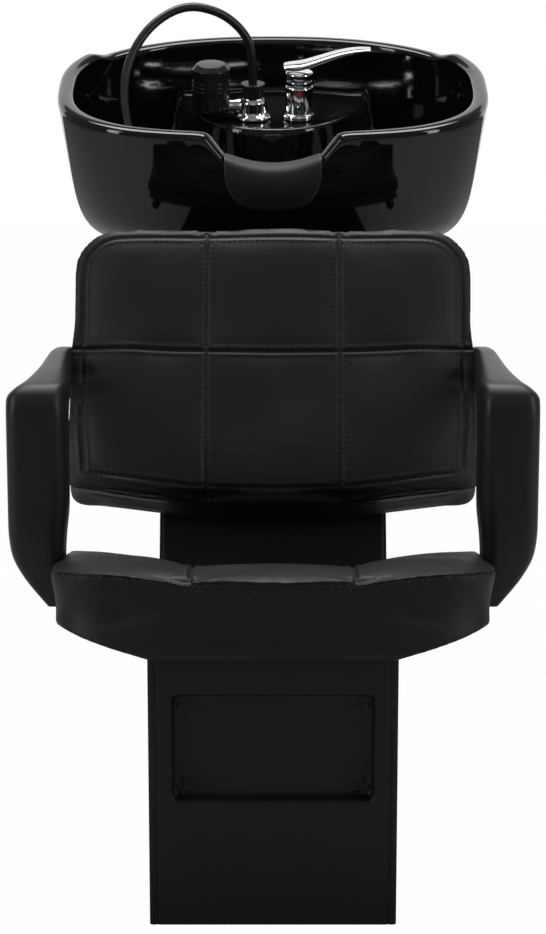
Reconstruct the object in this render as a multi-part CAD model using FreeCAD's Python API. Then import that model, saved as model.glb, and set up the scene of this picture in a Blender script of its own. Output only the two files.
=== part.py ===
import FreeCAD, Part
import math
import os

Vec = FreeCAD.Vector
Place = FreeCAD.Placement
Turn = FreeCAD.Rotation
ACROSS = Vec(1, 0, 0)
ALONG = Vec(0, 1, 0)
UP = Vec(0, 0, 1)
HERE = Vec(0, 0, 0)

# Fits, in millimetres like every length here
overrun = 30.0
hole_play = 0.3
pivot_play = 0.05
moving_gap = 0.5
resting_gap = 0.1

# Base box: one width from the pedestal in front to the column under the bowl
base_width = 300.0
base_length = 980.0
seat_tilt = 13.0
column_share = 0.6633
column_foot_height = 268.8
back_recline = 30.0
column_height = 640.0
board = 16.0
deck_board = 15.0
floor_board = 18.0
skin = 2.0
skin_lift = 3.0
top_plate = 5.0
window_width = 248.0
window_height = 137.0
window_bottom = 159.0
window_corner = 10.0
window_depth = 10.0
window_backing = 6.0
window_lap = 7.0
plumbing_width = 180.0
plumbing_length = 220.0
plumbing_corner = 25.0
plumbing_setback = 190.0
floor_bolt_hole_r = 6.0
floor_bolt_side_margin = 50.0
floor_bolt_end_margin = 80.0
rail_height = 60.0
access_panel = 6.0
access_cut_width = 130.0
access_cut_height = 110.0
access_cut_corner = 40.0
screw_r = 2.0
screw_head_r = 4.5
screw_head = 2.4
screw_depth = 12.0
screw_rows = 3
hose_slot_width = 120.0
hose_slot_length = 130.0
hose_slot_corner = 20.0
hose_slot_shift = 74.0

# Bolts that hold the seat and the back
bolt_r = 4.0
bolt_head_flats = 13.0
bolt_head = 5.5
bolt_short = 2.0

# Cushions of both kinds: where their sides swell and draw in, as shares of the height of the sides
cushion_pinch = 3.0
cushion_swell_share = 0.15

# Seat cushion, measured in the plane of the tilted deck from the front of the base
seat_width = 513.0
seat_nose_run = 98.0
seat_bow = 62.0
seat_rear_gap = 16.7
seat_corner = 78.0
seat_rear_corner = 36.0
seat_nose_radius = 600.0
seat_edge = 83.0
seat_crown = 10.0
seat_dish = 9.0
seat_side_rise = 18.0
seat_seam_x = 98.0
seat_full_share = 0.22
seat_dish_share = 0.6
seat_front_rise_share = 0.5
seat_nose_crown_share = 0.3
seat_flat_half = 145.0
seat_wing_rise = 42.0
seat_board = 15.0
seat_board_margin = 12.0
seat_bolt_x = 90.0
seat_bolt_shares = (0.21, 0.71)

# Back cushion, measured up the reclined column face from its foot
back_width = 524.0
back_low = 178.0
back_bow = 34.0
back_high = 524.0
back_top_corner = 58.0
back_low_corner = 40.0
back_bow_radius = 700.0
back_edge = 84.0
back_crown = 14.0
back_swell = 9.0
back_seam_x = 88.0
back_seam_up = 351.0
back_edge_crown_share = 0.2
back_seam_crown_share = 0.4
back_seam_swell_share = 0.3
back_board = 18.0
back_board_margin = 7.0
back_bolt_x = 90.0
back_bolt_shares = (0.18, 0.65)

# Arms: a post in front and a rest that runs back to the side of the back
arm_front_reach = 210.0
arm_post_depth = 104.0
arm_tip_depth = 74.0
arm_foot_rise = 97.2
arm_top_rise = 379.2
arm_thickness = 43.0
arm_end_reach = 222.0
arm_gap = 1.6
arm_tuck = 4.0
arm_fall = 40.0
arm_fall_run = 212.0
arm_fall_power = 1.5
arm_corner = 9.0
arm_corner_share = 0.35
arm_front_bend = 24.0
arm_inner_bend = 34.0
arm_post_steps = 8
arm_bend_steps = 4
arm_rest_steps = 10
arm_tip_share = 0.34
arm_waist_share = 0.45
arm_post_width = 65.4
arm_tip_width = 18.0
arm_waist_width = 40.5
arm_end_width = 16.5
arm_bracket = 5.0
arm_bracket_gap = 178.7
arm_bracket_width = 44.0
arm_bracket_foot = 90.0
arm_bracket_rise = 118.0
arm_bracket_bolt_out = 60.0
arm_bolt_up = 372.0
arm_bolt_sink = 6.0
arm_bolt_depth = 30.0
arm_bolt_head_share = 0.65

# Bowl: an oval rim that leans forward, a deep basin and a deck for the fittings behind
bowl_width = 618.0
bowl_length = 536.0
bowl_height = 222.5
bowl_tilt = 11.0
rim_setback = 120.0
rim_rise = 307.0
rim_width = 24.0
rim_round = 8.0
rear_drop = 11.0
rear_drop_y = 150.0
rear_drop_slope = 70.0
rear_drop_round = 60.0
bowl_wall = 14.0
front_power = 2.8
rear_power = 2.25
oval_points = 40
basin_depth = 205.0
floor_fall = 11.0
deck_drop = 93.0
deck_y = 215.0
deck_half_width = 140.0
deck_half_length = 175.0
deck_flare = 14.0
deck_round = 9.0
notch_half_top = 95.0
notch_half_low = 60.0
notch_depth = 54.0
notch_low_corner = 34.0
notch_top_corner = 14.0
outer_depth_shares = (0.0, 0.25, 0.5, 0.75, 0.92, 1.0)
outer_width_shares = (1.0, 0.978, 0.95, 0.917, 0.86, 0.74)
outer_length_shares = (1.0, 0.972, 0.935, 0.87, 0.75, 0.60)
outer_lean_shares = (0.0, 0.05, 0.2, 0.5, 0.85, 1.0)
outer_shift_shares = (0.0, 0.0, -0.005, -0.015, -0.03, -0.04)
inner_depth_shares = (0.0, 0.3, 0.6, 0.84, 0.95, 1.0)
inner_width_shares = (1.0, 0.985, 0.955, 0.885, 0.80, 0.67)
inner_length_shares = (1.0, 0.98, 0.95, 0.875, 0.79, 0.67)
inner_lean_shares = (0.0, 0.05, 0.25, 0.6, 0.9, 1.0)
inner_shift_shares = (0.0, 0.0, -0.01, -0.02, -0.03, -0.04)

# Neck rest that hangs in the notch
rest_thickness = 9.0
rest_rise = 7.0
rest_dip_radius = 130.0
rest_flap_width = 134.0
rest_flap_drop = 66.0
rest_flap_corner = 50.0

# Tilting mount between the column and the bowl
pad_thickness = 4.0
pad_r = 16.0
carrier = 4.0
carrier_width = 224.0
carrier_length = 214.0
carrier_corner = 24.0
carrier_y = 0.0
pad_spread_x = 84.0
pad_spread_y = 88.0
pivot_y = -58.0
pivot_drop = 24.0
pivot_r = 6.0
ear = 6.0
ear_r = 16.0
ear_x = 70.0
bowl_bolt_share = 0.6
tilt_foot = 5.0
tilt_foot_width = 210.0
tilt_foot_length = 70.0
tilt_foot_shift = 24.0
tilt_foot_corner = 10.0
tilt_bolt_x = 92.0
tilt_bolt_y = 22.0
washer_r = 15.0
washer = 2.0
rod_overhang = 13.0
rod_head = 6.0
rod_head_flats = 19.0

# Drain in the basin floor
drain_y = -8.0
drain_flange_r = 43.0
drain_flange = 3.0
drain_sleeve_r = 24.0
drain_sleeve_bore = 20.6
drain_sleeve_drop = 52.0
drain_gasket = 4.0
drain_gasket_r = 36.0
drain_nut = 12.0
drain_nut_flats = 66.0
drain_reach_r = 41.0
drain_lip_share = 0.4
tailpiece_r = 19.05
tailpiece_bore = 17.4
tailpiece_drop = 128.0
tailpiece_lap = 22.0
tailpiece_neck_r = 18.6
tailpiece_shoulder = 2.0
strainer_r = 19.4
strainer = 2.0
strainer_sink = 1.0
strainer_hole_r = 1.8
strainer_hole_circle = 12.0
strainer_holes = 10
strainer_knob_r = 4.0
strainer_knob = 9.0

# Single lever mixer on the deck
mixer_x = 39.0
mixer_y = 108.0
mixer_flange_r = 25.0
mixer_flange = 9.0
mixer_body_r = 21.0
mixer_body = 40.0
mixer_bonnet_r = 19.0
mixer_bonnet = 9.0
mixer_hub_r = 20.5
mixer_hub = 12.0
mixer_edge = 2.0
mixer_shank_r = 16.0
mixer_shank_drop = 62.0
mixer_nut = 10.0
mixer_nut_flats = 46.0
mixer_stem_r = 6.0
mixer_stem_share = 0.6
inlet_r = 5.0
inlet_depth = 12.0
inlet_spread = 8.0
lug_width = 12.0
lug_x = -14.0
lug_rise = 7.0
lug_r = 5.0
lever_pin_r = 2.0
lever_x = (-23.0, -13.0, 4.0, 30.0, 60.0, 86.0, 105.0)
lever_z = (7.5, 8.0, 9.0, 18.0, 28.0, 33.0, 33.5)
lever_width = (24.0, 34.0, 36.0, 32.0, 28.0, 25.0, 19.0)
lever_thick = (8.0, 10.5, 10.5, 9.5, 8.0, 6.5, 4.5)
lever_corner_share = 0.42
marker_r = 4.0
marker = 0.8
marker_share = 0.8

# Vacuum breaker on the deck, with the hose port on its body
breaker_x = -30.0
breaker_y = 110.0
breaker_foot_r = 24.0
breaker_foot = 6.0
breaker_body_r = 20.0
breaker_body = 26.0
breaker_neck_r = 15.0
breaker_neck = 5.0
breaker_arm_r = 9.5
breaker_arm_z = 17.0
breaker_cap_x = -92.0
breaker_cap_r = 28.5
breaker_cap_low = 13.0
breaker_cap = 69.0
breaker_cap_round = 9.0
breaker_groove = 2.0
breaker_groove_shares = (0.46, 0.55, 0.64)
breaker_shank_r = 9.0
breaker_shank_drop = 44.0
breaker_nut = 8.0
breaker_nut_flats = 30.0
hose_nut_r = 15.5
hose_nut = 17.0
hose_collar_r = 18.0
hose_collar = 4.0

# Hose and hand spray; the route is a list of places chosen along the hose's fall, from the middle of the rim
hose_r = 6.5
hose_route = (
    (-30.0, 110.0, -41.0), (-30.0, 110.0, 13.0), (-49.0, 108.6, 45.6), (-81.0, 102.8, 71.0),
    (-127.0, 89.0, 84.0), (-172.0, 66.8, 66.0), (-202.0, 39.9, 33.0), (-216.0, 8.2, -5.0),
    (-214.0, -31.4, -48.0), (-194.0, -74.2, -99.0), (-150.0, -121.7, -154.9), (-78.0, -150.8, -165.7),
    (-26.0, -153.3, -162.5),
)
hose_bend_share = 0.45
ferrule_r = 8.5
ferrule = 16.0
spray_tail_r = 10.0
spray_grip_r = 14.5
spray_neck_r = 9.5
spray_handle = 104.0
spray_grip_shares = (0.35, 0.6)
spray_head_r = 23.0
spray_head = 24.0
spray_dome = 8.0
spray_face_r = 19.5
spray_face = 2.0
spray_hole_r = 1.2
spray_hole_circle = 13.0
spray_holes = 12

# Places that follow from the sizes
front_y = -base_length / 2
rear_y = base_length / 2
tilt_slope = math.tan(math.radians(seat_tilt))
tilt_cosine = math.cos(math.radians(seat_tilt))
recline_slope = math.tan(math.radians(back_recline))
recline_cosine = math.cos(math.radians(back_recline))
inner_half = base_width / 2 - skin
stud_half = inner_half - board
column_foot_y = rear_y - base_length * column_share
column_foot_z = column_foot_height
front_height = column_foot_z + (column_foot_y - front_y) * tilt_slope
deck_run = (column_foot_y - front_y) / tilt_cosine
column_face = (column_height - column_foot_z) / recline_cosine
seat_rear_run = deck_run - seat_rear_gap
plate_z = column_height - top_plate
floor_bolt_spacing_x = base_width - floor_bolt_side_margin * 2
floor_bolt_spacing_y = base_length - floor_bolt_end_margin * 2
arm_front_y = column_foot_y - arm_front_reach
arm_end_y = column_foot_y + arm_end_reach
arm_bottom = column_foot_z + arm_foot_rise
arm_top = column_foot_z + arm_top_rise
arm_bracket_run = deck_run - arm_bracket_gap
wing_slope = seat_wing_rise / (seat_width / 2 - seat_flat_half)
wing_tilt = math.degrees(math.atan(wing_slope))
wing_cosine = math.cos(math.atan(wing_slope))
arm_inner_x = max(seat_width, back_width) / 2 + arm_gap
arm_fall_y = arm_end_y - arm_fall_run
seat_place = Place(Vec(0, front_y, front_height), Turn(ACROSS, -seat_tilt))
back_place = Place(Vec(0, column_foot_y, column_foot_z), Turn(ACROSS, 90 - back_recline))
rim_middle = Vec(0, rear_y - rim_setback, column_height + rim_rise)
bowl_place = Place(rim_middle, Turn(ACROSS, bowl_tilt))
sole_y = bowl_length * inner_shift_shares[-1]
sole_wall = (bowl_height - basin_depth) * math.cos(math.radians(floor_fall))
sole_place = bowl_place.multiply(Place(Vec(0, sole_y, -basin_depth), Turn(ACROSS, -floor_fall)))
carrier_z = -sole_wall - pad_thickness
pivot_z = carrier_z - carrier - pivot_drop
pivot_at = sole_place.multVec(Vec(0, pivot_y, pivot_z))
tilt_foot_y = pivot_at.y - tilt_foot_shift
mixer_place = bowl_place.multiply(Place(Vec(mixer_x, mixer_y, -deck_drop), Turn()))
breaker_place = bowl_place.multiply(Place(Vec(breaker_x, breaker_y, -deck_drop), Turn()))
hub_z = mixer_flange + mixer_body + mixer_bonnet + moving_gap
lug_z = hub_z + mixer_hub + lug_rise
hose_points = [bowl_place.multVec(Vec(*place)) for place in hose_route]


def placed(shape, placement):
    """A copy of the shape carried from its own frame into the world."""
    result = shape.copy()
    result.Placement = placement.multiply(result.Placement)
    return result


def outline(points, radii):
    """A closed flat wire through the corner points, each corner rounded by its own radius."""
    arcs = []
    for index, here in enumerate(points):
        back = (points[index - 1] - here).normalize()
        ahead = (points[(index + 1) % len(points)] - here).normalize()
        half = back.getAngle(ahead) / 2
        reach = radii[index] / math.tan(half)
        middle = here + (back + ahead).normalize() * (radii[index] / math.sin(half) - radii[index])
        arcs.append((here + back * reach, middle, here + ahead * reach))
    edges = []
    for index, (start, middle, end) in enumerate(arcs):
        if radii[index] > 0:
            edges.append(Part.Arc(start, middle, end).toShape())
        edges.append(Part.LineSegment(end, arcs[(index + 1) % len(arcs)][0]).toShape())
    return Part.Wire(edges)


def slab(points, radii, sweep):
    """A flat outline with rounded corners swept straight along a vector."""
    return Part.Face(outline(points, radii)).extrude(sweep)


def side_board(profile, x_start, x_end):
    """A board whose edge is drawn from the side, as distances back and up."""
    points = [Vec(x_start, y, z) for y, z in profile]
    return slab(points, [0] * len(points), Vec(x_end - x_start, 0, 0))


def plate(width, length, middle, corner, height):
    """A level plate with rounded corners, from its middle upwards."""
    x = width / 2
    y = length / 2
    corners = [Vec(-x, -y, 0), Vec(x, -y, 0), Vec(x, y, 0), Vec(-x, y, 0)]
    return slab([middle + corner_at for corner_at in corners], [corner] * 4, UP * height)


def drum(radius, height, base, axis=UP):
    """A plain round bar from its base along an axis."""
    return Part.makeCylinder(radius, height, base, axis)


def collar(outer_r, inner_r, height, base, axis=UP):
    """A round bar with a bore right through it."""
    bore = drum(inner_r, height + overrun * 2, base - axis * overrun, axis)
    return drum(outer_r, height, base, axis).cut(bore)


def hexagon(flats, height, base):
    """A six-sided bar from its base upwards."""
    radius = flats / math.sqrt(3)
    corners = [Vec(radius * math.cos(math.pi * k / 3), radius * math.sin(math.pi * k / 3), 0) for k in range(6)]
    return slab([base + corner for corner in corners], [0] * 6, UP * height)


def hex_bolt(length, base):
    """A bolt with its head under the base and its shank upwards."""
    head = hexagon(bolt_head_flats, bolt_head, base - UP * bolt_head)
    return head.fuse(drum(bolt_r, length, base))


def spun(profile):
    """A turned piece from a list of radii and heights, about the upright axis."""
    points = [Vec(radius, 0, height) for radius, height in profile]
    face = Part.Face(Part.makePolygon(points + points[:1]))
    return face.revolve(HERE, UP, 360)


def edges_at(shape, height):
    """The edges of a shape that lie at one height."""
    return [edge for edge in shape.Edges
            if abs(edge.BoundBox.ZMin - height) < resting_gap and abs(edge.BoundBox.ZMax - height) < resting_gap]


def deck_z(y, drop=0):
    """Height of the tilted seat deck at a distance back, or of a plane a drop below it."""
    return column_foot_z + (column_foot_y - y) * tilt_slope - drop / tilt_cosine


def column_y(z, inset=0):
    """Distance back of the reclined column face at a height, or of a plane set in behind it."""
    return column_foot_y + (z - column_foot_z) * recline_slope + inset / recline_cosine


def deck_meets_column(drop, inset):
    """Where a plane below the deck meets a plane behind the column face, as distance back and up."""
    start = column_y(column_foot_z, inset)
    product = tilt_slope * recline_slope
    z = (deck_z(start, drop) + column_foot_z * product) / (1 + product)
    return (column_y(z, inset), z)


def bolt_places(half_x, rows):
    """Places of a pair of bolts in every row."""
    return [Vec(x, row, 0) for x in (-half_x, half_x) for row in rows]


def between(low, high, shares):
    """Places at shares of the way from low to high."""
    return [low + (high - low) * share for share in shares]


seat_bolt_places = bolt_places(seat_bolt_x, between(0, deck_run, seat_bolt_shares))
back_bolt_places = bolt_places(back_bolt_x, between(back_low, column_face, back_bolt_shares))
pad_places = bolt_places(pad_spread_x, (carrier_y - pad_spread_y, carrier_y + pad_spread_y))
tilt_bolt_places = bolt_places(tilt_bolt_x, (tilt_foot_y - tilt_bolt_y, tilt_foot_y + tilt_bolt_y))


def drilled(shape, places, radius, placement=Place()):
    """The shape with an upright hole right through it at every place."""
    long = base_length
    for at in places:
        shape = shape.cut(placed(drum(radius, long * 2, at - UP * long), placement))
    return shape


def drilled_near(shape, places, radius, low, high, placement=Place()):
    """The shape with an upright hole from low to high at every place."""
    for at in places:
        shape = shape.cut(placed(drum(radius, high - low, at + UP * low), placement))
    return shape


def window(inset, y_start, y_end):
    """The block that fills the window of the base front, drawn in by an inset."""
    x = window_width / 2 - inset
    low = window_bottom + inset
    high = window_bottom + window_height - inset
    corners = [Vec(-x, y_start, low), Vec(x, y_start, low), Vec(x, y_start, high), Vec(-x, y_start, high)]
    return slab(corners, [window_corner] * 4, Vec(0, y_end - y_start, 0))


def base_plate():
    """Floor board with the bolt holes and the plumbing cut-out."""
    start = front_y + skin + board
    end = rear_y - access_panel
    profile = [(start, 0), (end, 0), (end, floor_board), (start, floor_board)]
    result = side_board(profile, -stud_half, stud_half)
    hole_at = Vec(0, rear_y - plumbing_setback, -overrun)
    result = result.cut(plate(plumbing_width, plumbing_length, hole_at, plumbing_corner, overrun * 3))
    places = bolt_places(floor_bolt_spacing_x / 2, (-floor_bolt_spacing_y / 2, floor_bolt_spacing_y / 2))
    return drilled(result, places, floor_bolt_hole_r)


def side_panel(side):
    """Structural board of one side, cut to the deck and the column."""
    start = front_y + skin + board
    end = rear_y - access_panel
    profile = [
        (start, 0), (start, deck_z(start, deck_board)), deck_meets_column(deck_board, board),
        (column_y(plate_z, board), plate_z), (end, plate_z), (end, 0),
    ]
    return side_board(profile, side * stud_half, side * inner_half)


def front_panel():
    """Front board with the window cut through it."""
    start = front_y + skin
    end = start + board
    profile = [(start, 0), (end, 0), (end, deck_z(end)), (start, deck_z(start))]
    return side_board(profile, -inner_half, inner_half).cut(window(0, start - overrun, end + overrun))


def window_back():
    """Thin board that closes the window from inside."""
    start = front_y + skin + board
    return window(-window_lap, start, start + window_backing)


def front_cover():
    """Vinyl of the base front, sunk into the window as a shallow tray."""
    profile = [(front_y, skin_lift), (front_y + skin, skin_lift), (front_y + skin, deck_z(front_y + skin)),
               (front_y, deck_z(front_y))]
    result = side_board(profile, -base_width / 2, base_width / 2)
    result = result.fuse(window(resting_gap, front_y, front_y + window_depth + skin))
    return result.cut(window(resting_gap + skin, front_y - overrun, front_y + window_depth))


def side_cover(side):
    """Vinyl of one side of the base."""
    start = front_y + skin
    profile = [
        (start, skin_lift), (start, deck_z(start)), (column_foot_y, column_foot_z),
        (column_y(column_height), column_height), (rear_y, column_height), (rear_y, skin_lift),
    ]
    return side_board(profile, side * inner_half, side * base_width / 2)


def seat_deck():
    """Tilted board under the seat, from the front board to the column."""
    start = front_y + skin + board
    profile = [(start, deck_z(start)), (column_foot_y, column_foot_z), deck_meets_column(deck_board, 0),
               (start, deck_z(start, deck_board))]
    result = side_board(profile, -inner_half, inner_half)
    return drilled(result, seat_bolt_places, bolt_r + hole_play, seat_place)


def column_panel():
    """Reclined front board of the column."""
    profile = [deck_meets_column(deck_board, 0), (column_y(plate_z), plate_z), (column_y(plate_z, board), plate_z),
               deck_meets_column(deck_board, board)]
    result = side_board(profile, -inner_half, inner_half)
    return drilled_near(result, back_bolt_places, bolt_r + hole_play, -overrun, overrun, back_place)


def column_cover():
    """Vinyl of the column face between the seat and the top."""
    x = inner_half
    corners = [Vec(-x, 0, 0), Vec(x, 0, 0), Vec(x, column_face, 0), Vec(-x, column_face, 0)]
    result = slab(corners, [0] * 4, UP * skin)
    result = placed(result, back_place)
    return drilled_near(result, back_bolt_places, bolt_r + hole_play, -overrun, overrun, back_place)


def column_top():
    """Steel plate on the column with the slot for the drain and the hoses."""
    start = column_y(column_height)
    corners = [Vec(-inner_half, start, plate_z), Vec(inner_half, start, plate_z), Vec(inner_half, rear_y, plate_z),
               Vec(-inner_half, rear_y, plate_z)]
    result = slab(corners, [0] * 4, UP * top_plate)
    slot_at = Vec(0, pivot_at.y + hose_slot_shift, plate_z - overrun)
    slot = plate(hose_slot_width, hose_slot_length, slot_at, hose_slot_corner, overrun * 3)
    return drilled(result.cut(slot), tilt_bolt_places, bolt_r + hole_play)


def rail_heights():
    """Heights of the middles of the two rear rails."""
    return (floor_board + access_cut_height + rail_height / 2, plate_z - rail_height / 2)


def screw_places():
    """Places of the access panel screws on the rails."""
    half = stud_half - screw_depth
    step = half * 2 / (screw_rows - 1)
    return [Vec(-half + step * k, rear_y - access_panel, z) for k in range(screw_rows) for z in rail_heights()]


def rear_rails():
    """Two battens between the sides that carry the access panel."""
    end = rear_y - access_panel
    rails = []
    for z in rail_heights():
        low = z - rail_height / 2
        profile = [(end - board, low), (end, low), (end, low + rail_height), (end - board, low + rail_height)]
        rails.append(side_board(profile, -stud_half, stud_half))
    result = Part.makeCompound(rails)
    for at in screw_places():
        result = result.cut(drum(screw_r + resting_gap, screw_depth + resting_gap, at, -ALONG))
    return result


def rear_panel():
    """Access panel at the back with an arched cut-out for the pipes."""
    low = skin_lift
    start = rear_y - access_panel
    profile = [(start, low), (rear_y, low), (rear_y, plate_z), (start, plate_z)]
    result = side_board(profile, -inner_half, inner_half)
    x = access_cut_width / 2
    corners = [Vec(-x, start - overrun, low - overrun), Vec(x, start - overrun, low - overrun),
               Vec(x, start - overrun, access_cut_height), Vec(-x, start - overrun, access_cut_height)]
    cut = slab(corners, [0, 0, access_cut_corner, access_cut_corner], Vec(0, overrun * 3, 0))
    result = result.cut(cut)
    for at in screw_places():
        result = result.cut(drum(screw_r + resting_gap, overrun, at, ALONG))
    return result


def panel_screws():
    """Pan head screws of the access panel."""
    screws = []
    for at in screw_places():
        shank = drum(screw_r, screw_depth + access_panel, at - ALONG * screw_depth, ALONG)
        screws.append(shank.fuse(drum(screw_head_r, screw_head, at + ALONG * access_panel, ALONG)))
    return Part.makeCompound(screws)


def seat_outline(inset, level):
    """Plan of the seat at a level: straight sides, round corners and a bowed nose."""
    half = seat_width / 2 - inset
    nose = -seat_nose_run + inset
    rear = seat_rear_run - inset
    points = [Vec(half, rear, level), Vec(-half, rear, level), Vec(-half, nose + seat_bow, level),
              Vec(0, nose, level), Vec(half, nose + seat_bow, level)]
    return outline(points, [seat_rear_corner, seat_rear_corner, seat_corner, seat_nose_radius, seat_corner])


def back_outline(inset, level):
    """Face of the back at a level: round corners and a lower edge that bows down."""
    half = back_width / 2 - inset
    low = back_low + inset
    high = back_high - inset
    points = [Vec(half, high, level), Vec(-half, high, level), Vec(-half, low, level),
              Vec(0, low - back_bow, level), Vec(half, low, level)]
    return outline(points, [back_top_corner, back_top_corner, back_low_corner, back_bow_radius, back_low_corner])


def panel_cutter(half, seam_x, stations, ceiling):
    """What lies above a cushion of three sewn panels; each station gives place, edge, seam and crown."""
    wires = []
    for y, edge, seam, crown in stations:
        marks = [(-half, edge), (-seam_x, seam), (seam_x, seam), (half, edge)]
        points = [Vec(x, y, z) for x, z in marks]
        edges = []
        for start, end in zip(points, points[1:]):
            middle = (start + end) / 2 + UP * crown
            edges.append(Part.Arc(start, middle, end).toShape())
        far = half + overrun
        rest = [points[-1], Vec(far, y, edge), Vec(far, y, ceiling), Vec(-far, y, ceiling), Vec(-far, y, edge),
                points[0]]
        for start, end in zip(rest, rest[1:]):
            edges.append(Part.LineSegment(start, end).toShape())
        wires.append(Part.Wire(edges))
    return Part.makeLoft(wires, True, False)


def boxing(plan, edge, base, ceiling):
    """Body of a cushion with its sides drawn in between the seams."""
    levels = ((base, cushion_pinch), (base + edge * cushion_swell_share, 0), (base + edge / 2, cushion_pinch),
              (base + edge, 0), (ceiling, cushion_pinch))
    return Part.makeLoft([plan(inset, level) for level, inset in levels], True, False)


def sole_z(x):
    """Height of the seat's underside at a distance from its middle: level, then rising to the sides."""
    return max(0, abs(x) - seat_flat_half) * wing_slope


def below_seat(lift):
    """What lies under the seat's underside, or under a surface lifted above it."""
    far = seat_width / 2 + overrun
    start = -seat_nose_run - overrun
    marks = [(-far, -overrun), (far, -overrun), (far, sole_z(far) + lift), (seat_flat_half, lift),
             (-seat_flat_half, lift), (-far, sole_z(far) + lift)]
    points = [Vec(x, start, z) for x, z in marks]
    return slab(points, [0] * len(points), ALONG * (seat_rear_run - start + overrun))


def seat_board_solid():
    """Moulded plywood let into the underside of the seat, its wings rising to the sides."""
    wire = seat_outline(seat_board_margin, 0)
    block = Part.Face(wire).extrude(UP * (seat_board + seat_wing_rise))
    return block.common(below_seat(seat_board)).cut(below_seat(0))


def seat_cushion():
    """Foam seat in three sewn panels, higher at the sides, over its plywood."""
    ceiling = seat_edge + seat_crown * 2 + seat_dish * 2
    body = boxing(seat_outline, seat_edge, 0, ceiling)
    depth = seat_rear_run + seat_nose_run
    high = seat_edge + seat_crown
    stations = (
        (-seat_nose_run - overrun, seat_edge - seat_dish, seat_edge - seat_dish,
         seat_crown * seat_nose_crown_share),
        (-seat_nose_run + depth * seat_full_share, high + seat_side_rise * seat_front_rise_share,
         high, seat_crown),
        (-seat_nose_run + depth * seat_dish_share, high + seat_dish / 2 + seat_side_rise,
         high - seat_dish / 2, seat_crown),
        (seat_rear_run + overrun, seat_edge + seat_dish + seat_side_rise, seat_edge, seat_crown / 2),
    )
    body = body.cut(panel_cutter(seat_width / 2, seat_seam_x, stations, ceiling + overrun))
    return placed(body.cut(below_seat(0)).cut(seat_board_solid()), seat_place)


def seat_plywood():
    """Seat board with holes for the bolts from the deck and the arm brackets."""
    result = drilled(seat_board_solid(), seat_bolt_places, bolt_r + hole_play)
    for side in (-1, 1):
        result = drilled(result, bracket_bolt_places(side), bolt_r + hole_play, wing_place(side))
    return placed(result, seat_place)


def seat_bolts():
    """Bolts from under the deck into the seat board."""
    length = deck_board + seat_board - bolt_short
    bolts = [placed(hex_bolt(length, at - UP * deck_board), seat_place) for at in seat_bolt_places]
    return Part.makeCompound(bolts)


def back_board_solid():
    """Plywood behind the back cushion."""
    return Part.Face(back_outline(back_board_margin, skin)).extrude(UP * back_board)


def back_cushion():
    """Foam back in six sewn panels."""
    base = skin + back_board
    rim = base + back_edge
    full = rim + back_swell
    ceiling = full + back_crown * 2
    body = boxing(back_outline, back_edge, base, ceiling)
    low = back_low - back_bow
    low_row = (low + back_seam_up) / 2
    high_row = (back_high + back_seam_up) / 2
    end_crown = back_crown * back_edge_crown_share
    sunk = rim + back_swell * back_seam_swell_share
    stations = (
        (low - overrun, rim - back_swell, rim - back_swell, end_crown),
        (low_row, rim + back_swell / 2, full, back_crown),
        (back_seam_up, sunk, sunk, back_crown * back_seam_crown_share),
        (high_row, rim + back_swell / 2, full, back_crown),
        (back_high + overrun, rim - back_swell, rim - back_swell, end_crown),
    )
    body = body.cut(panel_cutter(back_width / 2, back_seam_x, stations, ceiling + overrun))
    return placed(body, back_place)


def back_plywood():
    """Back board with holes for the column bolts and, in its edges, for the arm bolts."""
    result = drilled(back_board_solid(), back_bolt_places, bolt_r + hole_play)
    for side in (-1, 1):
        start = Vec(side * (back_width / 2), arm_bolt_up, skin + back_board / 2)
        result = result.cut(drum(bolt_r + hole_play, arm_bolt_depth + resting_gap, start, ACROSS * -side))
    return placed(result, back_place)


def back_bolts():
    """Bolts from inside the column into the back board."""
    length = board + skin + back_board - bolt_short
    bolts = [placed(hex_bolt(length, at - UP * board), back_place) for at in back_bolt_places]
    return Part.makeCompound(bolts)


def arm_section(inner, outer, width, tuck):
    """A rounded section of the arm between two places in side view, of a width outwards and a tuck inwards."""
    low = Vec(arm_inner_x - tuck, inner[0], inner[1])
    high = Vec(arm_inner_x - tuck, outer[0], outer[1])
    out = ACROSS * (width + tuck)
    corner = min(arm_corner, width * arm_corner_share)
    return outline([low, high, high + out, low + out], [corner] * 4)


def arm_rail(runs, foot, turn, end):
    """One edge of the arm in side view: up a post, round a bend and back along the rest."""
    foot_run, post_run = runs
    top, bend = turn
    places = []
    for step in range(arm_post_steps):
        share = step / arm_post_steps
        ease = min(1, share / arm_tip_share)
        places.append((foot_run + (post_run - foot_run) * ease, foot + (top - bend - foot) * share))
    for step in range(arm_bend_steps + 1):
        angle = math.pi / 2 * step / arm_bend_steps
        places.append((post_run + bend * (1 - math.cos(angle)), top - bend * (1 - math.sin(angle))))
    start = post_run + bend
    for step in range(1, arm_rest_steps + 1):
        run = start + (end - start) * step / arm_rest_steps
        places.append((run, top - arm_fall * max(0, (run - arm_fall_y) / arm_fall_run) ** arm_fall_power))
    return places


def arm_widths():
    """Width of the arm at each section, from the tip up the post and back to the end."""
    widths = []
    for step in range(arm_post_steps + arm_bend_steps // 2):
        ease = min(1, step / arm_post_steps / arm_tip_share)
        widths.append(arm_tip_width + (arm_post_width - arm_tip_width) * math.sin(math.pi / 2 * ease))
    count = arm_bend_steps - arm_bend_steps // 2 + 1 + arm_rest_steps
    for step in range(count):
        share = step / (count - 1)
        slim = arm_end_width + (arm_waist_width - arm_end_width) * (1 - share)
        flare = (arm_post_width - arm_waist_width) * (1 - min(1, share / arm_waist_share)) ** 2
        widths.append(slim + flare)
    return widths


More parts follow.
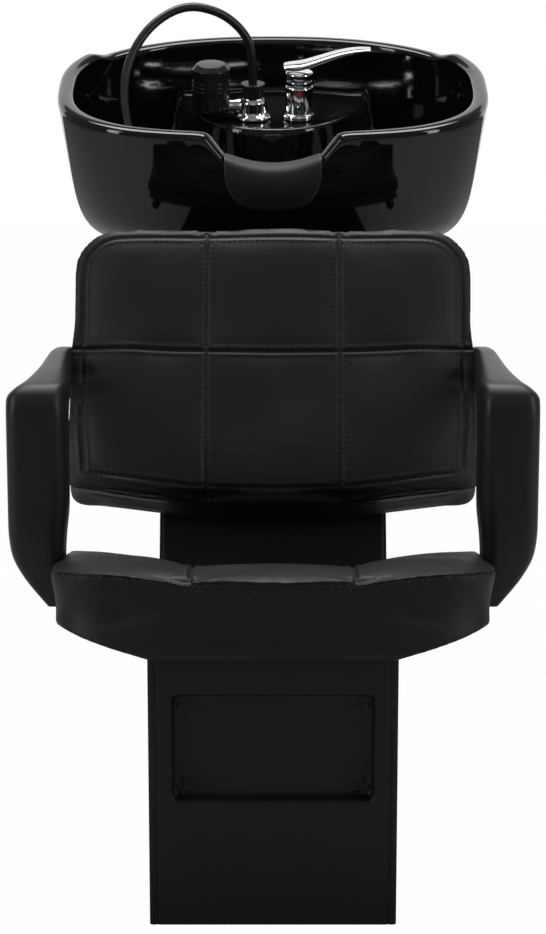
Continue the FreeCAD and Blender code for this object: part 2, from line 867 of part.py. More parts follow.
def arm_tucks():
    """How far each section of the arm reaches in beside the seat, from the tip to the end."""
    tucks = [arm_tuck] * (arm_post_steps + arm_bend_steps + 1)
    for step in range(1, arm_rest_steps + 1):
        tucks.append(arm_tuck * (1 - min(1, step / arm_rest_steps / arm_waist_share)))
    return tucks


def arm_blank():
    """The right arm before its cuts: tip, post, bend and rest."""
    front = arm_front_y
    rear = front + arm_post_depth
    slim = (arm_post_depth - arm_tip_depth) / 2
    outer = arm_rail((front + slim, front), arm_bottom, (arm_top, arm_front_bend), arm_end_y)
    inner = arm_rail((rear - slim, rear), arm_bottom, (arm_top - arm_thickness, arm_inner_bend), arm_end_y)
    sections = [arm_section(*places) for places in zip(inner, outer, arm_widths(), arm_tucks())]
    return Part.makeLoft(sections, True, False)


def bracket_leg():
    """Slot for the upright leg of the arm bracket, in the seat's frame."""
    return Part.makeBox(arm_bracket, arm_bracket_width, arm_bracket_rise + arm_bracket,
                        Vec(arm_inner_x, arm_bracket_run, -arm_bracket))


def wing_place(side):
    """Frame of one rising wing of the seat's underside, in the seat's frame."""
    return Place(Vec(side * seat_flat_half, 0, 0), Turn(ALONG, -side * wing_tilt))


def bracket_bolt_places(side):
    """Places of the bolts that hold an arm bracket to its wing of the seat board, in the wing's frame."""
    run = arm_bracket_run + arm_bracket_width / 2
    step = arm_bracket_width / 4
    return [Vec(side * arm_bracket_bolt_out, run - step, 0), Vec(side * arm_bracket_bolt_out, run + step, 0)]


def arm_bolt_start(side):
    """Place of an arm's rear bolt on the outside of the arm."""
    return Vec(side * (arm_inner_x + arm_end_width - arm_bolt_sink), arm_bolt_up, skin + back_board / 2)


def armrest(side):
    """One moulded arm with its bracket pocket and the sunk hole of its rear bolt."""
    start = arm_bolt_start(1)
    hole = drum(bolt_r + hole_play, arm_post_width * 2, start - ACROSS * arm_post_width, ACROSS)
    sink = drum(bolt_head_flats * arm_bolt_head_share, arm_post_width, start, ACROSS)
    result = arm_blank().cut(placed(bracket_leg(), seat_place)).cut(placed(hole.fuse(sink), back_place))
    return result if side > 0 else result.mirror(HERE, ACROSS)


def arm_bracket_solid(side):
    """Steel angle let into the arm's foot and bolted under the seat."""
    inside = arm_inner_x - arm_bracket_foot
    outside = arm_inner_x + arm_bracket
    drop = arm_bracket / wing_cosine
    marks = [(inside, sole_z(inside)), (arm_inner_x, sole_z(arm_inner_x)), (arm_inner_x, arm_bracket_rise),
             (outside, arm_bracket_rise), (outside, sole_z(outside) - drop), (inside, sole_z(inside) - drop)]
    points = [Vec(x, arm_bracket_run, z) for x, z in marks]
    result = slab(points, [0] * len(points), ALONG * arm_bracket_width)
    result = drilled(result, bracket_bolt_places(1), bolt_r + hole_play, wing_place(1))
    result = placed(result, seat_place)
    return result if side > 0 else result.mirror(HERE, ACROSS)


def bracket_bolts():
    """Bolts of the arm brackets, up into the seat board."""
    length = arm_bracket + seat_board * wing_cosine - bolt_short
    bolts = []
    for side in (-1, 1):
        frame = seat_place.multiply(wing_place(side))
        bolts += [placed(hex_bolt(length, at - UP * arm_bracket), frame) for at in bracket_bolt_places(side)]
    return Part.makeCompound(bolts)


def arm_bolts():
    """Bolts through the rear ends of the arms into the edges of the back board."""
    bolts = []
    for side in (-1, 1):
        start = arm_bolt_start(side)
        inward = ACROSS * -side
        length = abs(start.x) - back_width / 2 + arm_bolt_depth - bolt_short
        head = drum(bolt_head_flats / 2, arm_bolt_sink, start, ACROSS * side)
        bolts.append(placed(head.fuse(drum(bolt_r, length, start, inward)), back_place))
    return Part.makeCompound(bolts)


def oval(half_width, half_length, at, lean):
    """A closed oval, squarer in front than behind, leaned about its own middle."""
    points = []
    for step in range(oval_points):
        angle = 2 * math.pi * step / oval_points
        cosine, sine = math.cos(angle), math.sin(angle)
        power = 2 / (front_power if sine < 0 else rear_power)
        x = half_width * math.copysign(abs(cosine) ** power, cosine)
        y = half_length * math.copysign(abs(sine) ** power, sine)
        points.append(Turn(ACROSS, -lean).multVec(Vec(x, y, 0)) + at)
    curve = Part.BSplineCurve()
    curve.interpolate(points, PeriodicFlag=True)
    return Part.Wire(curve.toShape())


def bowl_body(depth, half_width, half_length, shares, stretch):
    """A bowl-shaped solid from its lists of shares; the stretch carries its ends further."""
    depths, widths, lengths, leans, shifts = shares
    wires = []
    for index, share in enumerate(depths):
        z = -depth * share - (stretch if index == len(depths) - 1 else 0)
        at = Vec(0, bowl_length * shifts[index], z)
        wires.append(oval(half_width * widths[index], half_length * lengths[index], at, floor_fall * leans[index]))
    return Part.makeLoft(wires, True, False)


def bowl_outside(inset=0, stretch=0):
    """The bowl's outer form, or the form drawn in by an inset."""
    shares = (outer_depth_shares, outer_width_shares, outer_length_shares, outer_lean_shares, outer_shift_shares)
    return bowl_body(bowl_height, bowl_width / 2 - inset, bowl_length / 2 - inset, shares, stretch)


def deck_block(inset, top):
    """The tongue behind the basin that carries the fittings, wider towards its foot."""
    low = -bowl_height - overrun * 2
    wires = []
    for z, flare in ((top, 0), (low, deck_flare)):
        ring = Part.Ellipse(HERE, deck_half_length - inset + flare, deck_half_width - inset + flare).toShape()
        ring.rotate(HERE, UP, 90)
        ring.translate(Vec(0, deck_y, z))
        wires.append(Part.Wire(ring))
    return Part.makeLoft(wires, True, True)


def basin():
    """The hollow of the bowl: the basin in front and the space over the deck."""
    shares = (inner_depth_shares, inner_width_shares, inner_length_shares, inner_lean_shares, inner_shift_shares)
    body = bowl_body(basin_depth, bowl_width / 2 - rim_width, bowl_length / 2 - rim_width, shares, 0)
    tongue = deck_block(0, -deck_drop)
    tongue = tongue.makeFillet(deck_round, edges_at(tongue, -deck_drop))
    return body.cut(tongue)


def rear_step():
    """What is cut from the rim behind its ears, where it steps down."""
    x = bowl_width
    half = rear_drop_slope / 2
    profile = [(rear_drop_y - half - overrun, 0), (rear_drop_y - half, 0), (rear_drop_y + half, -rear_drop),
               (bowl_length, -rear_drop), (bowl_length, overrun), (rear_drop_y - half - overrun, overrun)]
    points = [Vec(-x, y, z) for y, z in profile]
    return slab(points, [0, rear_drop_round, rear_drop_round, 0, 0, 0], ACROSS * (x * 2))


def notch(inset):
    """The neck opening of the front rim, drawn in by an inset."""
    top = notch_half_top - inset
    low = notch_half_low - inset
    floor = -notch_depth + inset
    far = notch_half_top + overrun
    lift = resting_gap
    start = -bowl_length / 2 - overrun
    profile = [(-far, overrun), (-far, lift), (-top, lift), (-low, floor), (low, floor), (top, lift), (far, lift),
               (far, overrun)]
    points = [Vec(x, start, z) for x, z in profile]
    radii = [0, 0, notch_top_corner, notch_low_corner, notch_low_corner, notch_top_corner, 0, 0]
    return slab(points, radii, ALONG * (bowl_length / 4 + overrun))


def bowl():
    """Ceramic bowl with rolled rim, neck notch, fittings deck and holes."""
    result = bowl_outside().cut(basin())
    under = deck_block(bowl_wall, -deck_drop - bowl_wall).common(bowl_outside(bowl_wall, overrun))
    result = result.cut(under).cut(rear_step())
    rim = [edge for edge in result.Edges
           if edge.BoundBox.ZMin > -rear_drop - moving_gap and not isinstance(edge.Curve, Part.Line)]
    result = result.makeFillet(rim_round, rim).cut(notch(0))
    result = drilled(result, [Vec(mixer_x, mixer_y, 0)], mixer_shank_r + hole_play)
    result = drilled(result, [Vec(breaker_x, breaker_y, 0)], breaker_shank_r + hole_play)
    result = placed(result, bowl_place)
    result = drilled(result, [Vec(0, drain_y, 0)], drain_sleeve_r + hole_play, sole_place)
    depth = sole_wall * bowl_bolt_share
    return drilled_near(result, pad_places, bolt_r + hole_play, -sole_wall - overrun, -sole_wall + depth, sole_place)


def neck_rest():
    """Rubber saddle over the notch, with a flap in front and a short lip inside."""
    front = -bowl_length / 2 - rest_thickness
    top = -notch_depth + rest_rise
    half = rest_flap_width / 2
    high = notch_half_top
    low = top - rest_flap_drop
    dip = drum(rest_dip_radius, bowl_length, Vec(0, -bowl_length, top + rest_dip_radius), ALONG)
    corners = [Vec(-half, front, high - notch_depth), Vec(half, front, high - notch_depth), Vec(half, front, low),
               Vec(-half, front, low)]
    flap = slab(corners, [0, 0, rest_flap_corner, rest_flap_corner], ALONG * (rest_thickness * 2))
    flap = flap.cut(bowl_outside()).cut(dip)
    saddle = notch(resting_gap).cut(dip)
    ceiling = Part.makeBox(bowl_width, bowl_length, bowl_length, Vec(-bowl_width / 2, -bowl_length, -rest_rise))
    saddle = saddle.cut(ceiling)
    depth = rim_width + rest_thickness * 2
    sleeve = Part.makeBox(bowl_width, depth, bowl_length, Vec(-bowl_width / 2, front, -bowl_length))
    return placed(flap.fuse(saddle.common(sleeve)).removeSplitter(), bowl_place)


def tilt_base():
    """Steel bracket on the column: a foot plate and two ears for the pivot rod."""
    foot_at = Vec(0, tilt_foot_y, column_height)
    result = plate(tilt_foot_width, tilt_foot_length, foot_at, tilt_foot_corner, tilt_foot)
    rise = pivot_at.z - column_height
    for side in (-1, 1):
        start = Vec(side * ear_x - ear / 2, pivot_at.y, column_height)
        post = Part.makeBox(ear, ear_r * 2, rise, start - ALONG * ear_r)
        result = result.fuse(post).fuse(drum(ear_r, ear, start + UP * rise, ACROSS))
    result = drilled(result.removeSplitter(), tilt_bolt_places, bolt_r + hole_play)
    return result.cut(drum(pivot_r + resting_gap, base_width, pivot_at - ACROSS * (base_width / 2), ACROSS))


def tilt_bolts():
    """Bolts of the tilt bracket, down through the column plate."""
    length = tilt_foot + top_plate + bolt_head
    bolts = []
    for at in tilt_bolt_places:
        bolt = hex_bolt(length, HERE)
        bolt.rotate(HERE, ACROSS, 180)
        bolt.translate(at + UP * (column_height + tilt_foot))
        bolts.append(bolt)
    return Part.makeCompound(bolts)


def carrier_ear_x():
    """Inner face of a carrier ear, outside the bracket ear and its washer."""
    return ear_x + ear / 2 + washer + resting_gap


def bowl_carrier():
    """Steel plate under the bowl with two ears that hang on the pivot rod."""
    low = carrier_z - carrier
    result = plate(carrier_width, carrier_length, Vec(0, carrier_y, low), carrier_corner, carrier)
    for side in (-1, 1):
        start = Vec(side * (carrier_ear_x() + ear / 2) - ear / 2, pivot_y, pivot_z)
        post = Part.makeBox(ear, ear_r * 2, low - pivot_z, start - ALONG * ear_r)
        result = result.fuse(post).fuse(drum(ear_r, ear, start, ACROSS))
    result = drilled(result.removeSplitter(), [Vec(0, drain_y, 0)], drain_reach_r)
    result = drilled(result, pad_places, bolt_r + hole_play)
    bore_at = Vec(-base_width / 2, pivot_y, pivot_z)
    return placed(result.cut(drum(pivot_r + pivot_play, base_width, bore_at, ACROSS)), sole_place)


def rod_half():
    """Half the length of the pivot rod between its nuts."""
    return carrier_ear_x() + ear + rod_overhang


def pivot_rod():
    """Rod on which the bowl tilts."""
    half = rod_half()
    return drum(pivot_r, half * 2, pivot_at - ACROSS * half, ACROSS)


def pivot_nuts():
    """Nuts at both ends of the pivot rod."""
    nuts = []
    for side in (-1, 1):
        nut = hexagon(rod_head_flats, rod_head, HERE).cut(drum(pivot_r + resting_gap, rod_head, HERE))
        nut.rotate(HERE, ALONG, 90 * side)
        nut.translate(pivot_at + ACROSS * (side * (carrier_ear_x() + ear + moving_gap)))
        nuts.append(nut)
    return Part.makeCompound(nuts)


def friction_washers():
    """Washers between the bracket ears and the carrier ears."""
    rings = []
    for side in (-1, 1):
        start = pivot_at + ACROSS * (side * (ear_x + ear / 2))
        rings.append(collar(washer_r, pivot_r + resting_gap, washer, start, ACROSS * side))
    return Part.makeCompound(rings)


def bowl_pads():
    """Rubber pads between the carrier and the bowl."""
    pads = [collar(pad_r, bolt_r + hole_play, pad_thickness, at + UP * carrier_z) for at in pad_places]
    return placed(Part.makeCompound(pads), sole_place)


def bowl_bolts():
    """Bolts through the carrier and the pads into the bowl."""
    length = carrier + pad_thickness + sole_wall * bowl_bolt_share - bolt_short
    bolts = [hex_bolt(length, at + UP * (carrier_z - carrier)) for at in pad_places]
    return placed(Part.makeCompound(bolts), sole_place)


def at_drain(shape):
    """A drain piece carried to the basin floor."""
    shape.translate(Vec(0, drain_y, 0))
    return placed(shape, sole_place)


def drain_flange_piece():
    """Strainer body: a flange on the basin floor and a sleeve through it."""
    lip = drain_sleeve_r - drain_sleeve_bore
    profile = [
        (drain_sleeve_bore, 0), (strainer_r + hole_play + lip, drain_flange), (drain_flange_r - drain_flange, drain_flange),
        (drain_flange_r, drain_flange * drain_lip_share), (drain_flange_r, resting_gap), (drain_sleeve_r, resting_gap),
        (drain_sleeve_r, -drain_sleeve_drop), (tailpiece_neck_r + hole_play, -drain_sleeve_drop),
        (tailpiece_neck_r + hole_play, -drain_sleeve_drop + tailpiece_lap),
        (tailpiece_bore, -drain_sleeve_drop + tailpiece_lap), (tailpiece_bore, -strainer - strainer_sink),
        (drain_sleeve_bore, -strainer - strainer_sink),
    ]
    return at_drain(spun(profile))


def drain_gasket_ring():
    """Rubber ring under the bowl around the sleeve."""
    base = Vec(0, 0, -sole_wall - drain_gasket)
    return at_drain(collar(drain_gasket_r, drain_sleeve_r + hole_play, drain_gasket, base))


def drain_nut_ring():
    """Lock nut of the drain."""
    base = Vec(0, 0, -sole_wall - drain_gasket - drain_nut)
    bore = drum(drain_sleeve_r + resting_gap, drain_nut, base)
    return at_drain(hexagon(drain_nut_flats, drain_nut, base).cut(bore))


def drain_tailpiece():
    """Outlet tube with a slimmer neck that is pushed into the sleeve from below."""
    top = -drain_sleeve_drop + tailpiece_lap
    shoulder = -drain_sleeve_drop - tailpiece_shoulder
    profile = [(tailpiece_bore, -tailpiece_drop), (tailpiece_r, -tailpiece_drop), (tailpiece_r, shoulder),
               (tailpiece_neck_r, shoulder), (tailpiece_neck_r, top), (tailpiece_bore, top)]
    return at_drain(spun(profile))


def hair_strainer():
    """Loose strainer plate with a knob to lift it out."""
    base = Vec(0, 0, -strainer - strainer_sink + resting_gap)
    result = drum(strainer_r, strainer, base).fuse(drum(strainer_knob_r, strainer + strainer_knob, base))
    for index in range(strainer_holes):
        angle = 2 * math.pi * index / strainer_holes
        at = base + Vec(math.cos(angle), math.sin(angle), 0) * strainer_hole_circle
        result = result.cut(drum(strainer_hole_r, strainer * 3, at - UP * strainer))
    return at_drain(result)


def mixer_flange_ring():
    """Foot ring of the mixer on the deck."""
    profile = [(mixer_shank_r + hole_play, 0), (mixer_flange_r, 0), (mixer_flange_r, mixer_flange / 2),
               (mixer_body_r + mixer_edge, mixer_flange), (mixer_shank_r + hole_play, mixer_flange)]
    return placed(spun(profile), mixer_place)


def mixer_body_piece():
    """Mixer body with its threaded shank and the two inlets in the shank's end."""
    low = -mixer_shank_drop
    top = mixer_flange + mixer_body
    profile = [(0, low), (mixer_shank_r, low), (mixer_shank_r, mixer_flange), (mixer_body_r, mixer_flange),
               (mixer_body_r, top - mixer_edge), (mixer_body_r - mixer_edge, top), (0, top)]
    result = spun(profile)
    for side in (-1, 1):
        result = result.cut(drum(inlet_r, inlet_depth, Vec(side * inlet_spread, 0, low)))
    return placed(result, mixer_place)


def mixer_bonnet_ring():
    """Bonnet over the cartridge with the stem that carries the handle."""
    base = mixer_flange + mixer_body
    top = base + mixer_bonnet
    stem = mixer_hub * mixer_stem_share
    profile = [(0, base), (mixer_bonnet_r, base), (mixer_bonnet_r, top - mixer_edge),
               (mixer_bonnet_r - mixer_edge, top), (mixer_stem_r, top), (mixer_stem_r, top + stem), (0, top + stem)]
    return placed(spun(profile), mixer_place)


def mixer_hub_piece():
    """Handle hub that turns on the stem, with the lug of the lever's hinge."""
    top = hub_z + mixer_hub
    bore = mixer_stem_r + pivot_play
    bore_top = hub_z + mixer_hub * mixer_stem_share + moving_gap
    profile = [(bore, hub_z), (mixer_hub_r, hub_z), (mixer_hub_r, top - mixer_edge), (mixer_hub_r - mixer_edge, top),
               (0, top), (0, bore_top), (bore, bore_top)]
    lug = Part.makeBox(lug_r * 2, lug_width, lug_rise + mixer_edge, Vec(lug_x - lug_r, -lug_width / 2, top - mixer_edge))
    round_top = drum(lug_r, lug_width, Vec(lug_x, -lug_width / 2, lug_z), ALONG)
    result = spun(profile).fuse(lug).fuse(round_top)
    pin_hole = drum(lever_pin_r + resting_gap, mixer_hub_r * 2, Vec(lug_x, -mixer_hub_r, lug_z), ALONG)
    return placed(result.cut(pin_hole), mixer_place)


def mixer_lever():
    """Blade lever that rises from the hub and flattens towards its tip."""
    top = hub_z + mixer_hub
    wires = []
    for x, z, width, thick in zip(lever_x, lever_z, lever_width, lever_thick):
        half = width / 2
        low = top + z - thick / 2
        high = low + thick
        points = [Vec(x, -half, low), Vec(x, half, low), Vec(x, half, high), Vec(x, -half, high)]
        wires.append(outline(points, [thick * lever_corner_share] * 4))
    result = Part.makeLoft(wires, True, False)
    slot_half = lug_r + mixer_edge
    slot = Part.makeBox(slot_half * 2, lug_width + moving_gap * 2, lug_rise + lug_r + moving_gap * 2,
                        Vec(lug_x - slot_half, -lug_width / 2 - moving_gap, top - moving_gap))
    pin_hole = drum(lever_pin_r + pivot_play, mixer_hub_r * 2, Vec(lug_x, -mixer_hub_r, lug_z), ALONG)
    return placed(result.cut(slot).cut(pin_hole), mixer_place)


def lever_pin():
    """Hinge pin of the lever, held in the hub's lug."""
    half = min(lever_width[:3]) / 2
    return placed(drum(lever_pin_r, half * 2, Vec(lug_x, -half, lug_z), ALONG), mixer_place)


def temperature_marker():
    """Small mark for hot and cold on the front of the mixer body."""
    z = mixer_flange + mixer_body * marker_share
    recess = mixer_body_r - marker
    bar = drum(marker_r, marker * 2, Vec(0, -recess, z), -ALONG)
    return placed(bar.cut(drum(mixer_body_r, overrun * 2, Vec(0, 0, z - overrun))), mixer_place)


def deck_nut(flats, height, bore, placement):
    """Nut drawn up against the underside of the deck."""
    base = Vec(0, 0, -bowl_wall - height)
    return placed(hexagon(flats, height, base).cut(drum(bore + resting_gap, height, base)), placement)


def breaker_body_piece():
    """Chrome body of the vacuum breaker with its side arm and shank."""
    profile = [(0, -breaker_shank_drop), (breaker_shank_r, -breaker_shank_drop), (breaker_shank_r, 0),
               (breaker_foot_r, 0), (breaker_foot_r, breaker_foot / 2), (breaker_body_r, breaker_foot),
               (breaker_body_r, breaker_body), (breaker_neck_r, breaker_body + breaker_neck),
               (0, breaker_body + breaker_neck)]
    reach = breaker_x - breaker_cap_x
    arm = drum(breaker_arm_r, reach, Vec(-reach, 0, breaker_arm_z), ACROSS)
    cap = drum(breaker_cap_r - breaker_groove, breaker_cap, Vec(-reach, 0, breaker_cap_low))
    return placed(spun(profile).fuse(arm).cut(cap), breaker_place)


def breaker_cap_piece():
    """Black air inlet cap with grip grooves around it."""
    reach = breaker_x - breaker_cap_x
    at = Vec(-reach, 0, breaker_cap_low)
    result = drum(breaker_cap_r, breaker_cap, at)
    result = result.makeFillet(breaker_cap_round, edges_at(result, breaker_cap_low + breaker_cap))
    for share in breaker_groove_shares:
        base = at + UP * (breaker_cap * share)
        ring = drum(breaker_cap_r + overrun, breaker_groove, base)
        result = result.cut(ring.cut(drum(breaker_cap_r - breaker_groove, breaker_groove, base)))
    arm = drum(breaker_arm_r + resting_gap, reach, Vec(-reach, 0, breaker_arm_z), ACROSS)
    core = drum(breaker_cap_r - breaker_groove, breaker_cap, at)
    return placed(result.cut(arm.cut(core)), breaker_place)


def hose_nut_piece():
    """Black swivel nut that holds the hose to the breaker."""
    base = breaker_body + breaker_neck
    top = base + hose_nut
    profile = [(0, base), (hose_nut_r, base), (hose_nut_r, top), (hose_collar_r, top),
               (hose_collar_r, top + hose_collar), (hose_r, top + hose_collar), (0, top + hose_collar)]
    return placed(spun(profile), breaker_place)


def hose_edges():
    """Straight runs of the hose joined by tangent arcs."""
    edges = []
    last = hose_points[0]
    for before, here, after in zip(hose_points, hose_points[1:], hose_points[2:]):
        back = before - here
        ahead = after - here
        reach = hose_bend_share * min(back.Length, ahead.Length)
        back.normalize()
        ahead.normalize()
        half = back.getAngle(ahead) / 2
        radius = reach * math.tan(half)
        middle = here + (back + ahead).normalize() * (radius / math.sin(half) - radius)
        edges.append(Part.LineSegment(last, here + back * reach).toShape())
        edges.append(Part.Arc(here + back * reach, middle, here + ahead * reach).toShape())
        last = here + ahead * reach
    edges.append(Part.LineSegment(last, hose_points[-1]).toShape())
    return edges


def spray_hose():
    """Hose from the breaker over the deck and down into the basin."""
    path = Part.Wire(hose_edges())
    ring = Part.Wire(Part.Circle(hose_points[0], hose_points[1] - hose_points[0], hose_r).toShape())
    return path.makePipeShell([ring], True, True)


def spray_place():
    """Frame of the hand spray, its axis along the last run of the hose."""
    return Place(hose_points[-1], Turn(UP, hose_points[-1] - hose_points[-2]))


def spray_ferrule():
    """Chrome ferrule between the hose and the hand spray."""
    return placed(drum(ferrule_r, ferrule, HERE), spray_place())


def spray_handle_piece():
    """Grip of the hand spray."""
    end = ferrule + spray_handle
    low, high = between(ferrule, end, spray_grip_shares)
    profile = [(0, ferrule), (spray_tail_r, ferrule), (spray_grip_r, low), (spray_grip_r, high), (spray_neck_r, end),
               (0, end)]
    return placed(spun(profile), spray_place())


def head_place():
    """Frame of the spray head, its axis level and square to the grip."""
    out = spray_place().multVec(Vec(0, 0, ferrule + spray_handle + spray_head_r))
    grip = spray_place().Rotation.multVec(UP)
    facing = UP.cross(grip)
    return Place(out, Turn(UP, facing))


def spray_head_piece():
    """Head of the hand spray with a domed back."""
    half = spray_head / 2
    profile = [(0, -half), (spray_head_r - spray_dome, -half), (spray_head_r, -half + spray_dome), (spray_head_r, half),
               (spray_face_r + resting_gap, half), (spray_face_r + resting_gap, half - spray_face), (0, half - spray_face)]
    result = placed(spun(profile), head_place())
    return result.fuse(placed(drum(spray_neck_r, spray_head_r, Vec(0, 0, ferrule + spray_handle)), spray_place()))


def spray_face_plate():
    """Face of the spray head with its jets."""
    base = Vec(0, 0, spray_head / 2 - spray_face)
    result = drum(spray_face_r, spray_face, base)
    for index in range(spray_holes):
        angle = 2 * math.pi * index / spray_holes
        at = base + Vec(math.cos(angle), math.sin(angle), 0) * spray_hole_circle
        result = result.cut(drum(spray_hole_r, spray_face * 3, at - UP * spray_face))
    return placed(result, head_place())


NODES = {
    "base_plate": base_plate(),
    "side_panel_left": side_panel(-1),
    "side_panel_right": side_panel(1),
    "front_panel": front_panel(),
    "window_back": window_back(),
    "seat_deck": seat_deck(),
    "column_panel": column_panel(),
    "column_top": column_top(),
    "rear_rails": rear_rails(),
    "rear_panel": rear_panel(),
    "panel_screws": panel_screws(),
    "front_cover": front_cover(),
    "side_cover_left": side_cover(-1),
    "side_cover_right": side_cover(1),
    "column_cover": column_cover(),
    "seat_board": seat_plywood(),
    "seat_cushion": seat_cushion(),
    "seat_bolts": seat_bolts(),
    "back_board": back_plywood(),
    "back_cushion": back_cushion(),
    "back_bolts": back_bolts(),
    "armrest_left": armrest(-1),
    "armrest_right": armrest(1),
    "arm_bracket_left": arm_bracket_solid(-1),
    "arm_bracket_right": arm_bracket_solid(1),
    "bracket_bolts": bracket_bolts(),
    "arm_bolts": arm_bolts(),
    "tilt_base": tilt_base(),
    "tilt_bolts": tilt_bolts(),
    "pivot_rod": pivot_rod(),
    "pivot_nuts": pivot_nuts(),
    "friction_washers": friction_washers(),
    "bowl_carrier": bowl_carrier(),
    "bowl_pads": bowl_pads(),
    "bowl_bolts": bowl_bolts(),
    "bowl": bowl(),
    "neck_rest": neck_rest(),
    "drain_flange": drain_flange_piece(),
    "drain_gasket": drain_gasket_ring(),
    "drain_nut": drain_nut_ring(),
    "drain_tailpiece": drain_tailpiece(),
    "hair_strainer": hair_strainer(),
    "mixer_flange": mixer_flange_ring(),
    "mixer_body": mixer_body_piece(),
    "mixer_bonnet": mixer_bonnet_ring(),
    "mixer_hub": mixer_hub_piece(),
    "mixer_lever": mixer_lever(),
    "lever_pin": lever_pin(),
    "temperature_marker": temperature_marker(),
    "mixer_nut": deck_nut(mixer_nut_flats, mixer_nut, mixer_shank_r, mixer_place),
    "breaker_body": breaker_body_piece(),
    "breaker_cap": breaker_cap_piece(),
    "breaker_nut": deck_nut(breaker_nut_flats, breaker_nut, breaker_shank_r, breaker_place),
    "hose_nut": hose_nut_piece(),
    "spray_hose": spray_hose(),
    "spray_ferrule": spray_ferrule(),
    "spray_handle": spray_handle_piece(),
    "spray_head": spray_head_piece(),
    "spray_face": spray_face_plate(),
}

os.makedirs("parts", exist_ok=True)
for name, shape in NODES.items():
    shape.exportStep("parts/" + name + ".step")
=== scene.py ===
import math
import bmesh
import bpy
import numpy as np
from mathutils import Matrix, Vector
from mathutils.bvhtree import BVHTree


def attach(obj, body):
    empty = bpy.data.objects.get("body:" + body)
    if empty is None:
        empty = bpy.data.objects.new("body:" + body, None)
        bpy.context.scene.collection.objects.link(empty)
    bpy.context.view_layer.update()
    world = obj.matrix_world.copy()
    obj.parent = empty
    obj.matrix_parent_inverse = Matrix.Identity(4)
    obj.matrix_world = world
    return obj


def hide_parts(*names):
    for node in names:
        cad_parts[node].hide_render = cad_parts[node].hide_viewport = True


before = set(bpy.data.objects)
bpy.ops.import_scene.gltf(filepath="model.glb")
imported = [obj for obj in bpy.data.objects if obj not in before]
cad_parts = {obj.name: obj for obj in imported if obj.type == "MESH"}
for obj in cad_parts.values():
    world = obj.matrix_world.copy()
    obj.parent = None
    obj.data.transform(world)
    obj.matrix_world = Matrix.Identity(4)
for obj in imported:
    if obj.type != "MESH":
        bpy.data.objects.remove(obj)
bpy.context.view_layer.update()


# ROOM
# A white floor and a white sweep behind it, lit by wide soft boxes over a dim room. The camera stands in front of
# the seat at head height and looks a little down on it.


def placed(name, data):
    """A new object with the given data, linked to the scene."""
    piece = bpy.data.objects.new(name, data)
    bpy.context.scene.collection.objects.link(piece)
    return piece


eye = placed("camera", bpy.data.cameras.new("camera"))
eye.location = (0, -3.69, 1.35)
eye.rotation_euler = (math.radians(76.42), 0, 0)
eye.data.sensor_width = 36
eye.data.lens = 107.9
bpy.context.scene.camera = eye
bpy.context.scene.view_settings.view_transform = "Standard"


def set_inputs(node, values):
    """Puts plain values on the named inputs of a shader node."""
    for socket, value in values.items():
        node.inputs[socket.replace("_", " ")].default_value = value
    return node


def add_node(tree, kind, **values):
    """A new shader node with plain values on its named inputs."""
    return set_inputs(tree.nodes.new(kind), values)


def join(tree, *pairs):
    """Links each output to the input beside it."""
    for source, socket in pairs:
        tree.links.new(source, socket)


def ray_mix(tree, plain, seen, share, kind):
    """Two shaders in one: the second by a share for camera rays and one more kind, the first for the rest."""
    path = add_node(tree, "ShaderNodeLightPath")
    either, scaled = add_node(tree, "ShaderNodeMath"), add_node(tree, "ShaderNodeMath")
    either.operation, scaled.operation = "MAXIMUM", "MULTIPLY"
    scaled.inputs[1].default_value = share
    mix = add_node(tree, "ShaderNodeMixShader")
    join(tree, (path.outputs["Is Camera Ray"], either.inputs[0]), (path.outputs[kind], either.inputs[1]),
         (either.outputs[0], scaled.inputs[0]), (scaled.outputs[0], mix.inputs[0]),
         (plain.outputs[0], mix.inputs[1]), (seen.outputs[0], mix.inputs[2]))
    return mix.outputs[0]


def stage_sheet(name, corners, white_share, kind):
    """A flat four-cornered sheet of the stage: matt grey, and white by a share for two kinds of rays."""
    mesh = bpy.data.meshes.new(name)
    mesh.from_pydata(corners, [], [(0, 1, 2, 3)])
    paint = bpy.data.materials.new(name)
    paint.use_nodes = True
    tree = paint.node_tree
    tree.nodes.clear()
    matt = add_node(tree, "ShaderNodeBsdfDiffuse", Color=(0.55, 0.55, 0.55, 1))
    white = add_node(tree, "ShaderNodeEmission")
    end = add_node(tree, "ShaderNodeOutputMaterial")
    join(tree, (ray_mix(tree, matt, white, white_share, kind), end.inputs["Surface"]))
    mesh.materials.append(paint)
    sheet = placed(name, mesh)


stage_sheet("floor", [(-9, -9, 0), (9, -9, 0), (9, 9, 0), (-9, 9, 0)], 0.985, "Is Transmission Ray")
stage_sheet("sweep", [(-5, 5.2, 0), (5, 5.2, 0), (5, 5.2, 4), (-5, 5.2, 4)], 1.0, "Is Glossy Ray")

world = bpy.data.worlds.new("room")
bpy.context.scene.world = world
world.use_nodes = True
room = world.node_tree
dim = set_inputs(room.nodes["Background"], {"Color": (0.17, 0.17, 0.17, 1)})
bright = add_node(room, "ShaderNodeBackground", Color=(1, 1, 1, 1))
join(room, (ray_mix(room, dim, bright, 1.0, "Is Transmission Ray"), room.nodes["World Output"].inputs["Surface"]))


def soft_box(name, place, target, width, height, watts):
    """A flat lamp that faces a target."""
    lamp = bpy.data.lights.new(name, "AREA")
    lamp.shape = "RECTANGLE"
    lamp.size, lamp.size_y = width, height
    lamp.energy = watts
    body = placed(name, lamp)
    body.location = place
    aim = Vector(target) - Vector(place)
    body.rotation_euler = aim.to_track_quat("-Z", "Y").to_euler()


